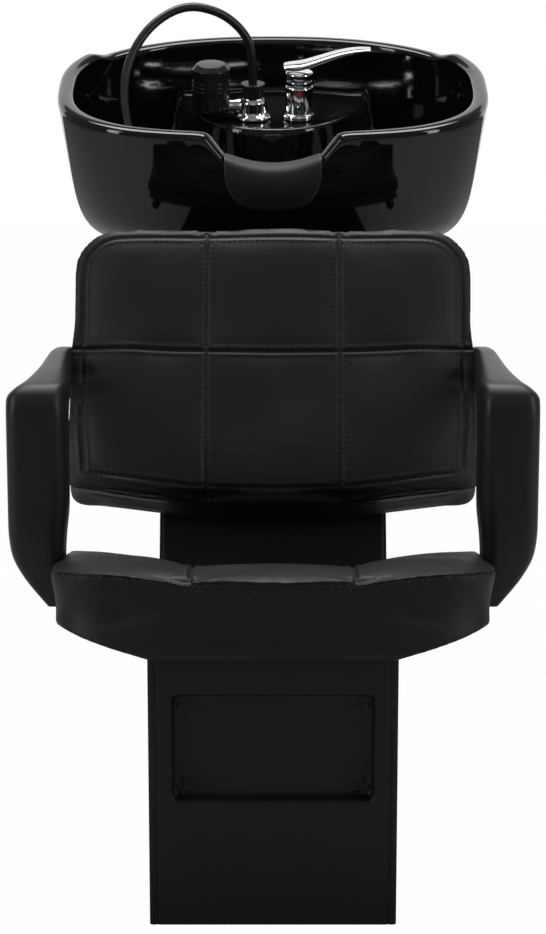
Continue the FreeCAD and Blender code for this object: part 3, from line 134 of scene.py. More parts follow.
soft_box("box_top", (0, 0.9, 3.1), (0, 0.15, 0.6), 2.4, 1.4, 80)
for label, side in (("box_left", -1), ("box_right", 1)):
    soft_box(label, (2.3 * side, -1.1, 1.5), (0, 0.1, 0.8), 0.5, 2.2, 19)
soft_box("box_front", (0, -4.2, 2.8), (0, 0, 0.6), 2.0, 1.0, 4)


# BASE
# A plywood box with black vinyl pulled over it: a front sheet that sinks into a shallow window, two side sheets sewn
# to it along the front corners, and a sheet on the reclined column face. A laminate panel closes the back.


def smooth_step(low, high, value):
    """Zero below low and one above high, with an S-curve between them."""
    share = np.clip((value - low) / (high - low), 0, 1)
    return share * share * (3 - 2 * share)


def bell(distance, width):
    """A bell-shaped rise: one at no distance and near zero beyond two widths."""
    return np.exp(-(distance / width) ** 2)


def ripple(points, size, seed):
    """Slow uneven swells: a sum of nine sine waves of drawn directions, about one size long, between -1 and 1."""
    draw = np.random.default_rng(seed)
    total = np.zeros(points.shape[:-1])
    for _ in range(9):
        along = draw.normal(size=3)
        along /= np.linalg.norm(along)
        total += np.sin(points @ along * (2 * np.pi / size) * draw.uniform(0.6, 1.5) + draw.uniform(0, 2 * np.pi))
    return total / 4


def grid_quads(index):
    """Faces over a grid of point numbers: every four neighbours make one."""
    return np.stack([index[:-1, :-1], index[:-1, 1:], index[1:, 1:], index[1:, :-1]], axis=-1).reshape(-1, 4)


def skin(name, grid, closed=False):
    """A smooth mesh over a grid of points, whose columns may join up to a tube."""
    index = np.arange(grid.shape[0] * grid.shape[1]).reshape(grid.shape[:2])
    if closed:
        index = np.concatenate([index, index[:, :1]], axis=1)
    mesh = bpy.data.meshes.new(name)
    mesh.from_pydata(grid.reshape(-1, 3).tolist(), [], grid_quads(index).tolist())
    whole = bmesh.new()
    whole.from_mesh(mesh)
    bmesh.ops.remove_doubles(whole, verts=whole.verts, dist=1e-6)
    bmesh.ops.recalc_face_normals(whole, faces=whole.faces)
    whole.to_mesh(mesh)
    whole.free()
    mesh.shade_smooth()
    return placed(name, mesh)


def finish(name, **values):
    """A new material with a Principled shader and plain values on its sockets."""
    material = bpy.data.materials.new(name)
    material.use_nodes = True
    set_inputs(material.node_tree.nodes["Principled BSDF"], values)
    return material


def pebble_group():
    """Pebbled skin: rounded cells with fine creases between them, and slow patches of more and less gloss."""
    tree = bpy.data.node_groups.new("pebbled_skin", "ShaderNodeTree")
    for way, labels in (("INPUT", ("Cells", "Gloss Low", "Gloss High")), ("OUTPUT", ("Height", "Roughness"))):
        for label in labels:
            tree.interface.new_socket(label, in_out=way, socket_type="NodeSocketFloat")
    start, end = tree.nodes.new("NodeGroupInput"), tree.nodes.new("NodeGroupOutput")
    place = add_node(tree, "ShaderNodeTexCoord").outputs["Object"]
    cells = add_node(tree, "ShaderNodeTexVoronoi")
    cells.feature = "SMOOTH_F1"
    set_inputs(cells, {"Smoothness": 0.4})
    fine = add_node(tree, "ShaderNodeTexNoise", Scale=2600)
    total = add_node(tree, "ShaderNodeMath")
    total.operation = "MULTIPLY_ADD"
    total.inputs[1].default_value = 0.35
    patches = add_node(tree, "ShaderNodeTexNoise", Scale=9, Detail=6)
    gloss = add_node(tree, "ShaderNodeMapRange", From_Min=0.3, From_Max=0.7)
    join(tree, (place, cells.inputs["Vector"]), (place, fine.inputs["Vector"]), (place, patches.inputs["Vector"]),
         (start.outputs["Cells"], cells.inputs["Scale"]), (fine.outputs["Fac"], total.inputs[0]),
         (cells.outputs["Distance"], total.inputs[2]), (total.outputs[0], end.inputs["Height"]),
         (patches.outputs["Fac"], gloss.inputs["Value"]), (start.outputs["Gloss Low"], gloss.inputs["To Min"]),
         (start.outputs["Gloss High"], gloss.inputs["To Max"]), (gloss.outputs["Result"], end.inputs["Roughness"]))
    return tree


pebbled = pebble_group()


def grained(name, colour, cells, gloss, strength, depth, **values):
    """A material with the pebbled skin on it, as bump and as gloss between two bounds."""
    material = finish(name, Base_Color=(*colour, 1), **values)
    tree = material.node_tree
    shader = tree.nodes["Principled BSDF"]
    grain = add_node(tree, "ShaderNodeGroup")
    grain.node_tree = pebbled
    set_inputs(grain, {"Cells": cells, "Gloss Low": gloss[0], "Gloss High": gloss[1]})
    bump = add_node(tree, "ShaderNodeBump", Strength=strength, Distance=depth)
    join(tree, (grain.outputs["Height"], bump.inputs["Height"]), (bump.outputs["Normal"], shader.inputs["Normal"]),
         (grain.outputs["Roughness"], shader.inputs["Roughness"]))
    return material


vinyl = grained("vinyl", (0.007, 0.007, 0.0072), cells=700, gloss=(0.42, 0.56), strength=0.25, depth=0.0004,
                Specular_IOR_Level=0.3)

base_half = 0.150
base_front = -0.490
base_rear = 0.490
deck_front = 0.345
column_foot = (-0.160, 0.2688)
column_top = 0.640
column_top_y = 0.0543
column_half = 0.1478
column_run = 0.4286
column_recline = math.radians(30)
sheet_foot = 0.0008
edge_r = 0.004
window_middle = 0.2275
window_half = (0.124, 0.0685)
window_corner = 0.010
window_depth = 0.0155
crease_middle = (0.111, 0.056)
seam_x = 0.1410


def base_top(y):
    """Height of the base's upper edge: down the seat deck, up the column face, level to the back."""
    return np.interp(y, [base_front, column_foot[0], column_top_y, base_rear],
                     [deck_front, column_foot[1], column_top, column_top])


def rolled_edge(inside, radius):
    """How far a sheet turns in near its edge: a quarter circle over the last radius of the way."""
    near = np.clip(radius - inside, 0, radius)
    return radius - np.sqrt(radius * radius - near * near)


def past_box(over_x, over_y):
    """Distance to a rectangle, from how far a point is past its sides: below zero inside it."""
    return np.hypot(np.maximum(over_x, 0), np.maximum(over_y, 0)) + np.minimum(np.maximum(over_x, over_y), 0)


def front_sheet():
    """Front vinyl: flat, rolled at its side edges, sunk inside a rounded rectangle, with pull creases
    that fan out inside the rectangle's corners and a seam along each side."""
    x, z = np.broadcast_arrays(np.linspace(-base_half, base_half, 201)[None, :],
                               np.linspace(sheet_foot, deck_front, 221)[:, None])
    wide, high = np.abs(x), np.abs(z - window_middle)
    away = past_box(wide - window_half[0] + window_corner, high - window_half[1] + window_corner) - window_corner
    sunk = smooth_step(0.001, -0.006, away)
    fan_x, fan_z = wide - crease_middle[0], high - crease_middle[1]
    turn, reach = np.arctan2(fan_z, fan_x), np.hypot(fan_x, fan_z)
    corner = bell(reach, 0.022) * smooth_step(0.001, 0.010, reach) * smooth_step(0.004, -0.006, away)
    crease = np.sin(turn * 5 + 3 * np.sign(x) + np.sign(z - window_middle)) * corner * 0.0013
    slack = ripple(np.stack([x, z * 0.6, z * 0], -1), 0.12, 3) * 0.0008 * smooth_step(0, 0.02, np.abs(away))
    seam = 0.0022 * bell(wide - seam_x, 0.0017)
    y = base_front + window_depth * sunk + crease + slack * sunk + seam + rolled_edge(base_half - wide, edge_r)
    return np.stack([x, np.maximum(y, base_front + 0.0001), z], -1)


def side_sheet(side):
    """Side vinyl: a flat sheet between the floor and the base's upper edge, its four edges rolled in."""
    y = np.linspace(base_front + 0.0005, base_rear, 261)[None, :]
    top = base_top(y)
    z = sheet_foot + (top - sheet_foot) * np.linspace(0, 1, 121)[:, None]
    y, z = np.broadcast_arrays(y, z)
    inside = np.minimum(np.minimum(z + 0.002, top - z), np.minimum(y - base_front, base_rear - y + 0.003))
    slack = ripple(np.stack([y, z, z * 0], -1), 0.25, 5) * 0.0005 * smooth_step(0, 0.05, inside)
    x = base_half - 0.0001 - 0.3 * rolled_edge(np.clip(inside, 0, 1), edge_r) - np.abs(slack)
    return np.stack([side * x, y, z], -1)


def column_sheet():
    """Vinyl of the column face: a flat reclined sheet whose side edges roll back."""
    x, up = np.broadcast_arrays(np.linspace(-column_half, column_half, 121)[None, :],
                                np.linspace(0, column_run, 121)[:, None])
    slack = ripple(np.stack([x, up, x * 0], -1), 0.2, 8) * 0.0003
    out = 0.0021 - rolled_edge(column_half - np.abs(x), 0.005) * 0.4 + slack
    y = column_foot[0] + up * math.sin(column_recline) - out * math.cos(column_recline)
    z = column_foot[1] + up * math.cos(column_recline) + out * math.sin(column_recline)
    return np.stack([x, y, z], -1)


def dress(piece, material, body, slot, *nodes):
    """Gives a finished piece its material and body, and hides the nodes that it stands for. Its slot is not used."""
    piece.data.materials.clear()
    piece.data.materials.append(material)
    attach(piece, body)
    if nodes:
        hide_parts(*nodes)
    return piece


def thick_sheet(name, grid):
    """A sheet with a closed edge: the grid's skin made 1.6 mm thick, half to each side."""
    sheet = skin(name, grid)
    wall = sheet.modifiers.new("wall", "SOLIDIFY")
    wall.thickness = 0.0016
    wall.offset = 0
    return sheet


for name, grid, node in (("base_front", front_sheet(), "front_cover"),
                         ("base_side_left", side_sheet(-1), "side_cover_left"),
                         ("base_side_right", side_sheet(1), "side_cover_right"),
                         ("column_face", column_sheet(), "column_cover")):
    dress(thick_sheet(name, grid), vinyl, "chair", "vinyl", node)


def plywood_finish():
    """Sawn birch ply: long grain lines from a noise that is stretched along the boards."""
    material = finish("plywood", Roughness=0.7)
    tree = material.node_tree
    place = add_node(tree, "ShaderNodeTexCoord")
    stretch = add_node(tree, "ShaderNodeMapping", Scale=(1, 0.08, 1))
    lines = add_node(tree, "ShaderNodeTexNoise", Scale=40, Detail=8)
    tone = add_node(tree, "ShaderNodeValToRGB")
    tone.color_ramp.elements[0].color = (0.42, 0.28, 0.15, 1)
    tone.color_ramp.elements[1].color = (0.68, 0.52, 0.33, 1)
    join(tree, (place.outputs["Object"], stretch.inputs["Vector"]), (stretch.outputs[0], lines.inputs["Vector"]),
         (lines.outputs["Fac"], tone.inputs["Fac"]),
         (tone.outputs["Color"], tree.nodes["Principled BSDF"].inputs["Base Color"]))
    return material


plywood = plywood_finish()


def paint_nodes(material, *names):
    """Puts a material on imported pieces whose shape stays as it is."""
    for name in names:
        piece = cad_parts[name]
        for slot in piece.material_slots:
            slot.material = material
        if not piece.data.materials:
            piece.data.materials.append(material)


paint_nodes(plywood, "base_plate", "side_panel_left", "side_panel_right", "front_panel", "window_back", "seat_deck",
            "column_panel", "rear_rails")
laminate = grained("black_laminate", (0.02, 0.02, 0.021), cells=1500, gloss=(0.5, 0.6), strength=0.15, depth=0.0002)
paint_nodes(laminate, "rear_panel", "seat_board", "back_board")
zinc = grained("zinc", (0.6, 0.6, 0.62), cells=400, gloss=(0.28, 0.45), strength=0.02, depth=0.0001, Metallic=0.9)
paint_nodes(zinc, "panel_screws", "seat_bolts", "back_bolts", "bracket_bolts", "arm_bolts", "tilt_bolts",
            "pivot_nuts", "bowl_bolts", "pivot_rod", "lever_pin")
powder = grained("powder_coat", (0.025, 0.025, 0.026), cells=1800, gloss=(0.4, 0.5), strength=0.2, depth=0.0002)
paint_nodes(powder, "column_top", "arm_bracket_left", "arm_bracket_right", "tilt_base", "bowl_carrier")


# CUSHIONS
# Foam on plywood under sewn black vinyl: a seat of three panels and a back of six. The panels are joined by felled
# seams, and a boxing strip goes round each cushion below its top seam.


def local_frame(origin, degrees):
    """A turn about the X axis and an origin, as a matrix and a vector."""
    angle = math.radians(degrees)
    turn = np.array([[1, 0, 0], [0, math.cos(angle), -math.sin(angle)], [0, math.sin(angle), math.cos(angle)]])
    return turn, np.array(origin)


def to_local(points, place):
    """World points in a local frame."""
    return (points - place[1]) @ place[0]


def to_world(points, place):
    """Points of a local frame in the world."""
    return points @ place[0].T + place[1]


seat_frame = local_frame((0, base_front, deck_front), -13)
back_frame = local_frame((0, *column_foot), 60)


def vectors(items, label):
    """One vector of each item as the rows of an array."""
    rows = np.empty(len(items) * 3)
    items.foreach_get(label, rows)
    return rows.reshape(-1, 3)


def mesh_points(mesh):
    """All the places of a mesh as one array."""
    return vectors(mesh.vertices, "co")


def put_points(mesh, points):
    """Writes all the places of a mesh at once."""
    mesh.vertices.foreach_set("co", np.ascontiguousarray(points).ravel())
    mesh.update()


def only(piece):
    """Makes a piece the only chosen one, for the operators that need it."""
    bpy.ops.object.select_all(action="DESELECT")
    bpy.context.view_layer.objects.active = piece
    piece.select_set(True)


def foam_copy(node, name, voxel):
    """A copy of a packed cushion, closed and remeshed evenly."""
    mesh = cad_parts[node].data.copy()
    mesh.name = name
    piece = placed(name, mesh)
    whole = bmesh.new()
    whole.from_mesh(mesh)
    bmesh.ops.remove_doubles(whole, verts=whole.verts, dist=1e-5)
    whole.to_mesh(mesh)
    whole.free()
    only(piece)
    mesh.remesh_voxel_size = voxel
    mesh.use_remesh_fix_poles = False
    bpy.ops.object.voxel_remesh()
    piece.data.shade_smooth()
    return piece


def inflate(piece, held, cap):
    """Blows the cover up a little where it isn't held, as foam fills it, and keeps each point within a cap."""
    start = mesh_points(piece.data)
    levels, steps = 5, 20
    pins = piece.vertex_groups.new(name="held")
    for level in range(1, levels + 1):
        chosen = np.nonzero(np.round(held * levels) == level)[0].tolist()
        pins.add(chosen, level / levels, "REPLACE")
    cloth = piece.modifiers.new("foam", "CLOTH")
    settings = cloth.settings
    settings.quality = 4
    settings.mass = 0.3
    settings.tension_stiffness = settings.compression_stiffness = 12
    settings.shear_stiffness, settings.bending_stiffness = 6, 0.6
    settings.use_pressure = True
    settings.uniform_pressure_force = 4
    settings.vertex_group_mass = "held"
    settings.effector_weights.gravity = 0
    cloth.point_cache.frame_end = steps
    for step in range(1, steps + 1):
        bpy.context.scene.frame_set(step)
    seen = piece.evaluated_get(bpy.context.evaluated_depsgraph_get())
    moved = mesh_points(seen.data) - start
    reach = np.linalg.norm(moved, axis=1, keepdims=True)
    moved *= np.minimum(1, cap / np.maximum(reach, 1e-9))
    piece.modifiers.remove(cloth)
    piece.vertex_groups.clear()
    bpy.context.scene.frame_set(1)
    put_points(piece.data, start + moved)


def refine(piece):
    """One round of subdivision, made real."""
    finer = piece.modifiers.new("finer", "SUBSURF")
    finer.levels = finer.render_levels = 1
    only(piece)
    bpy.ops.object.modifier_apply(modifier=finer.name)


def finer_near(piece, near):
    """Splits once more the edges whose two ends are both near a seam."""
    ends = np.empty(len(piece.data.edges) * 2, int)
    piece.data.edges.foreach_get("vertices", ends)
    chosen = np.nonzero(near[ends].reshape(-1, 2).all(axis=1))[0]
    whole = bmesh.new()
    whole.from_mesh(piece.data)
    whole.edges.ensure_lookup_table()
    bmesh.ops.subdivide_edges(whole, edges=[whole.edges[index] for index in chosen], cuts=1, use_grid_fill=True)
    whole.to_mesh(piece.data)
    whole.free()


seat_seam = 0.098
seat_crest = 0.175
seat_stitch = 0.0078
stitch_step = 0.0075
welt = 0.0056
ray_height = 0.3


def felled(distance, along):
    """Height of a felled seam: a wide valley, two low welts, and a narrow crease that puckers at each stitch."""
    pucker = 1 + 0.3 * np.sin(along * 2 * np.pi / stitch_step)
    welts = 0.0011 * bell(distance - welt, 0.0024) * pucker
    return welts - 0.0012 * bell(distance, 0.012) - 0.0022 * bell(distance, 0.0017)


def cushion_state(piece, place):
    """Points, outward directions and local places of a cushion, and how far each point faces up in its frame."""
    points = mesh_points(piece.data)
    normals = vectors(piece.data.vertex_normals, "vector")
    return points, normals, to_local(points, place), (normals @ place[0])[:, 2]


def seat_under(x):
    """Height of the seat's underside: level in the middle, rising to the sides."""
    return np.maximum(0, np.abs(x) - 0.145) * 0.3767


def top_heights(piece, place, x, run):
    """Heights of a cushion's top over one line of its frame, found by rays from above."""
    tree = BVHTree.FromObject(piece, bpy.context.evaluated_depsgraph_get())
    starts = to_world(np.stack([x + 0 * run, run, ray_height + 0 * run], -1), place)
    down = Vector(place[0] @ np.array([0, 0, -1.0]))
    return np.array([ray_height - (tree.ray_cast(Vector(start), down)[3] or ray_height) for start in starts])


def filled_seat(piece):
    """Foam fills the seat's valleys up to a line over its three crests, and swells its nose sideways and down."""
    local, facing = cushion_state(piece, seat_frame)[2:]
    across, run, up = local.T
    x, side = np.abs(across), np.sign(across)
    rays = np.linspace(-0.10, 0.32, 85)
    middle = np.interp(run, rays, top_heights(piece, seat_frame, 0.0, rays))
    crest = np.interp(run, rays, top_heights(piece, seat_frame, seat_crest, rays))
    line = middle + (crest - middle) * smooth_step(0.085, seat_crest, x)
    fill = smooth_step(0.15, 0.45, facing) * (up > 0.05) * (x < seat_crest)
    up += fill * np.maximum(0, line - up)
    nose = smooth_step(0.09, 0.02, run)
    above = up - seat_under(x)
    across += side * 0.008 * nose * smooth_step(0.19, 0.25, x) * smooth_step(0.085, 0.05, above)
    up -= 0.006 * nose * bell(x - 0.205, 0.05) * smooth_step(0.06, 0.0, above)
    put_points(piece.data, to_world(local, seat_frame))


def seat_lines(x):
    """Distance of every point of the seat to its nearer panel seam."""
    return np.abs(np.abs(x) - seat_seam)


def seat_cushion():
    """The seat: remeshed foam blown up between its seams, with felled seams on top and a seam round the top edge."""
    piece = foam_copy("seat_cushion", "seat", 0.005)
    filled_seat(piece)
    x, _, up = to_local(mesh_points(piece.data), seat_frame).T
    held = np.maximum(bell(seat_lines(x), 0.006) * (up > 0.06), up < seat_under(x) + 0.012)
    held = np.maximum(held, 0.9 * smooth_step(0.235, 0.25, np.abs(x)))
    inflate(piece, held, 0.008)
    refine(piece)
    local, facing = cushion_state(piece, seat_frame)[2:]
    on_seam = (seat_lines(local[:, 0]) < 0.011) & (facing > 0.3)
    finer_near(piece, (local[:, 2] > 0.055) & (on_seam | (np.abs(facing - 0.45) < 0.42)))
    points, normals, local, facing = cushion_state(piece, seat_frame)
    x, run, up = local.T
    beat = np.sin(np.where(np.abs(x) < 0.21, x, run) * 2 * np.pi / seat_stitch)
    edge = -0.0026 * bell(facing - 0.36, 0.13) * (1 + 0.35 * beat) + 0.0011 * bell(facing - 0.72, 0.16)
    ticks = 0.0006 * beat * bell(facing - 0.12, 0.12)
    lift = smooth_step(0.55, 0.85, facing) * felled(seat_lines(x), run)
    lift += smooth_step(0.055, 0.065, up) * (edge + ticks)
    slack = ripple(local * np.array([1, 1, 0.5]), 0.11, 11) * 0.0009 * smooth_step(0.02, 0.05, up)
    put_points(piece.data, points + normals * (lift + slack)[:, None])
    return piece


back_half = 0.262
back_high = 0.524
back_crest = 0.175
back_seam = 0.088
back_level = 0.351
back_middle = 0.345


def back_sweep(x):
    """How far the level seam rises from the middle of the back to its sides."""
    return 0.012 * (x / back_half) ** 2


def back_low(x):
    """Height of the back's lower edge, which bows down in the middle."""
    return 0.178 - 0.030 * (1 - (x / back_half) ** 2)


def back_inset(local):
    """How far inside the back's outline each point lies: a rounded rectangle whose lower edge bows down."""
    x, up = np.abs(local[:, 0]), local[:, 1]
    low = back_low(x)
    middle = (back_high + low) / 2
    corner = np.where(up > middle, 0.058, 0.022)
    return corner - past_box(x - (back_half - corner), np.abs(up - middle) - ((back_high - low) / 2 - corner))


def back_lines(local):
    """Distance of every point of the back to its nearest panel seam and to its rim seam, and its way along."""
    x, up = np.abs(local[:, 0]), local[:, 1]
    panel = np.abs(x - back_seam)
    seam = np.minimum(panel, np.abs(up - back_level - back_sweep(x)))
    rim = np.abs(back_inset(local) - 0.012 - 0.004 * smooth_step(0.26, 0.20, up))
    near = np.minimum(seam, rim)
    upright = (near == panel) | (near == rim) & (x > 0.24)
    return seam, rim, np.where(upright, up, local[:, 0])


def squared_back(piece):
    """Foam fills the back's valleys towards a sheet over its six crests, the level seam rises to the sides, and
    the quarter circles of the two lower corners are stretched to a fifth-power curve."""
    local, facing = cushion_state(piece, back_frame)[2:]
    across, up, out = local.T
    x, side = np.abs(across), np.sign(across)
    rays = np.linspace(0.14, 0.53, 157)
    lines = []
    for column in (0.0, back_crest):
        heights = top_heights(piece, back_frame, column, rays)
        crests = [np.argmax(np.where(half, heights, 0)) for half in (rays < 0.345, rays > 0.357)]
        between = (rays > rays[crests[0]]) & (rays < rays[crests[1]])
        full = np.where(between, np.maximum(heights, np.interp(rays, rays[crests], heights[crests])), heights)
        lines.append(np.interp(up, rays, full))
    beside = np.interp(up, rays, full - heights) * smooth_step(0.258, back_crest, x)
    sheet = lines[0] + (lines[1] - lines[0]) * smooth_step(0.02, 0.16, x)
    missing = np.where(x < back_crest, np.maximum(0, sheet - out), beside)
    out += 0.85 * smooth_step(0.15, 0.45, facing) * missing
    across += side * 0.005 * smooth_step(0.40, 0.32, up) * (x / back_half) ** 4
    up += back_sweep(x) * bell(up - back_middle, 0.08)
    corner = 0.040
    over = np.stack([np.maximum(x - back_half + corner, 0), np.maximum(back_low(x) + corner - up, 0)], -1)
    reach = np.linalg.norm(over, axis=1)
    share = over / np.maximum(reach, 1e-6)[:, None]
    stretch = np.where(reach > 1e-6, np.sum(share ** 5, axis=1) ** -0.2, 1.0) - 1
    across += side * over[:, 0] * stretch
    up -= over[:, 1] * stretch + 0.004 * smooth_step(0.27, 0.20, up)
    put_points(piece.data, to_world(local, back_frame))


def back_cushion():
    """The back: remeshed foam blown up between its seams, with felled seams between its panels and round its face."""
    piece = foam_copy("back_cushion", "back", 0.005)
    squared_back(piece)
    local = to_local(mesh_points(piece.data), back_frame)
    held = np.maximum(bell(back_lines(local)[0], 0.006) * (local[:, 2] > 0.085), local[:, 2] < 0.03)
    held = np.maximum(held, 0.9 * smooth_step(0.245, 0.255, np.abs(local[:, 0])))
    inflate(piece, held, 0.003)
    refine(piece)
    local, facing = cushion_state(piece, back_frame)[2:]
    finer_near(piece, (np.minimum(*back_lines(local)[:2]) < 0.011) & (facing > 0.25))
    points, normals, local, facing = cushion_state(piece, back_frame)
    x, up, out = local.T
    seam, rim, along = back_lines(local)
    top = smooth_step(0.35, 0.7, facing)
    lift = top * np.minimum(felled(seam, along), 0.6 * felled(rim, along))
    edge = -0.0018 * bell(facing - 0.12, 0.10) * smooth_step(0.07, 0.09, out)
    slack = ripple(local * np.array([1, 1, 0.5]), 0.13, 17) * 0.0010 * smooth_step(0.03, 0.06, out)
    pull = np.sin(up * 2 * np.pi / 0.03 + 4 * x) * bell(np.abs(x) - 0.245, 0.02)
    slack += pull * 0.0006 * bell(up - 0.31, 0.05) * top
    put_points(piece.data, points + normals * (lift + edge + slack)[:, None])
    return piece


seat = dress(seat_cushion(), vinyl, "chair", "vinyl", "seat_cushion")
back = dress(back_cushion(), vinyl, "chair", "vinyl", "back_cushion")


stitch_length = 0.0046
thread_r = 0.00048
thread = grained("thread", (0.012, 0.012, 0.012), cells=3000, gloss=(0.5, 0.6), strength=0.2, depth=0.0001)


def circle(count):
    """Cosines and sines of evenly spaced angles, once round."""
    angle = np.linspace(0, 2 * np.pi, count, endpoint=False)
    return np.cos(angle), np.sin(angle)


def stitches(name, piece, place, marks, headings, toward=(0.0, 0.0, -1.0)):
    """Thread: short six-sided bars with tapered ends, laid where rays from the marks meet a cover."""
    tree = BVHTree.FromObject(piece, bpy.context.evaluated_depsgraph_get())
    ray = Vector(place[0] @ np.array(toward))
    rays = zip(to_world(marks, place), headings @ place[0].T)
    hits = [(*tree.ray_cast(Vector(start), ray)[:2], run) for start, run in rays]
    points, out, run = [np.array(column) for column in zip(*[hit for hit in hits if hit[0] is not None])]
    run -= out * np.sum(run * out, axis=1, keepdims=True)
    run /= np.linalg.norm(run, axis=1, keepdims=True)
    side = np.cross(out, run)
    offset = np.array([-0.5, -0.4, 0, 0.4, 0.5]) * stitch_length
    size = np.array([0.15, 0.8, 1, 0.8, 0.15]) * thread_r
    cosine, sine = circle(6)
    ring = side[:, None, :] * cosine[None, :, None] + out[:, None, :] * sine[None, :, None]
    grid = points[:, None, None] + run[:, None, None] * offset[None, :, None, None]
    grid = grid + ring[:, None] * size[None, :, None, None] + out[:, None, None] * 0.0001
    one = np.arange(len(offset) * len(sine)).reshape(len(offset), len(sine))
    first = one.size * np.arange(len(points))[:, None]
    around = grid_quads(np.concatenate([one, one[:, :1]], axis=1))
    sides = (around[None] + first[:, None]).reshape(-1, 4)
    ends = np.concatenate([first + one[0, ::-1], first + one[-1]])
    mesh = bpy.data.meshes.new(name)
    mesh.from_pydata(grid.reshape(-1, 3).tolist(), [], sides.tolist() + ends.tolist())
    mesh.shade_smooth()
    dress(placed(name, mesh), thread, "chair", "vinyl")


def even_steps(low, high):
    """Evenly spaced places between two ends, one for each stitch."""
    return np.arange(low + stitch_step / 2, high, stitch_step)


def straight_rows(fixed, ways, upright):
    """Marks and headings of straight rows: one row at every fixed place, along the other direction."""
    place, way = [side.ravel() for side in np.meshgrid(fixed, ways, indexing="ij")]
    first, second = (place, way) if upright else (way, place)
    marks = np.stack([first, second, 0 * first + ray_height], -1)
    return marks, np.broadcast_to((0.0, 1.0, 0.0) if upright else (1.0, 0.0, 0.0), marks.shape)


def rim_rows(inset):
    """Marks and headings of a row that keeps one inset from the back's outline, found by halving along rays."""
    angle = np.linspace(0, 2 * np.pi, 1201)
    aim = np.stack([np.cos(angle), np.sin(angle)], -1)
    middle = np.array([0, back_middle])
    near, far = 0 * angle, 0 * angle + 0.4
    for _ in range(26):
        half = (near + far) / 2
        inside = back_inset(aim * half[:, None] + middle) > inset
        near, far = np.where(inside, half, near), np.where(inside, far, half)
    line = aim * near[:, None] + middle
    run = np.concatenate([[0], np.cumsum(np.linalg.norm(np.diff(line, axis=0), axis=1))])
    wanted = even_steps(0, run[-1])
    x, up = [np.interp(wanted, run, column) for column in line.T]
    marks = np.stack([x, up, 0 * wanted + ray_height], -1)
    return marks, np.gradient(marks, axis=0)


pair = np.array([-welt, welt])
seams = np.concatenate([-seat_seam + pair, seat_seam + pair])
stitches("seat_stitches", seat, seat_frame, *straight_rows(seams, even_steps(-0.075, 0.30), True))
across = even_steps(-0.205, 0.205)
ticks = np.stack([across, 0 * across - ray_height, 0 * across + 0.0805], -1)
upward = np.broadcast_to((0.0, 0.0, 1.0), ticks.shape)
stitches("seat_front_stitches", seat, seat_frame, ticks, upward, (0.0, 1.0, 0.0))
seams = np.concatenate([-back_seam + pair, back_seam + pair])
stitches("back_upright_stitches", back, back_frame, *straight_rows(seams, even_steps(0.18, 0.508), True))
marks, headings = straight_rows(back_level + pair, even_steps(-0.246, 0.246), False)
marks[:, 1] += back_sweep(marks[:, 0])
stitches("back_level_stitches", back, back_frame, marks, headings)
stitches("back_rim_stitches", back, back_frame, *rim_rows(0.0176))


# ARMS
# Self-skinned foam mouldings over a steel core, one on each side: a broad post whose foot tapers to a tip beside the
# seat, and a rest that narrows to the rear where a bolt holds it to the back.


def eased(values, per_step, rounds):
    """A list of stations drawn as a smooth line: more points between them, then each the mean of its neighbours."""
    values = np.asarray(values, float)
    steps = np.linspace(0, len(values) - 1, (len(values) - 1) * per_step + 1)
    fine = np.stack([np.interp(steps, np.arange(len(values)), column) for column in values.T], -1)
    for _ in range(rounds):
        fine[1:-1] = (fine[:-2] + 2 * fine[1:-1] + fine[2:]) / 4
    return fine


def blunt(wave, power):
    """A sine or cosine whose size takes a power, which makes a circle a squarer oval."""
    return np.sign(wave) * np.abs(wave) ** power


def capped(stations, count=7):
    """Stations with copies of the first and the last, and each section's size: a quarter sine closes both ends."""
    cap = np.sin(np.linspace(0, np.pi / 2, count + 1)[:-1])
    size = np.concatenate([cap, np.ones(len(stations)), cap[::-1]])
    return np.concatenate([stations[:1].repeat(count, 0), stations, stations[-1:].repeat(count, 0)]), size


arm_inner = 0.2636


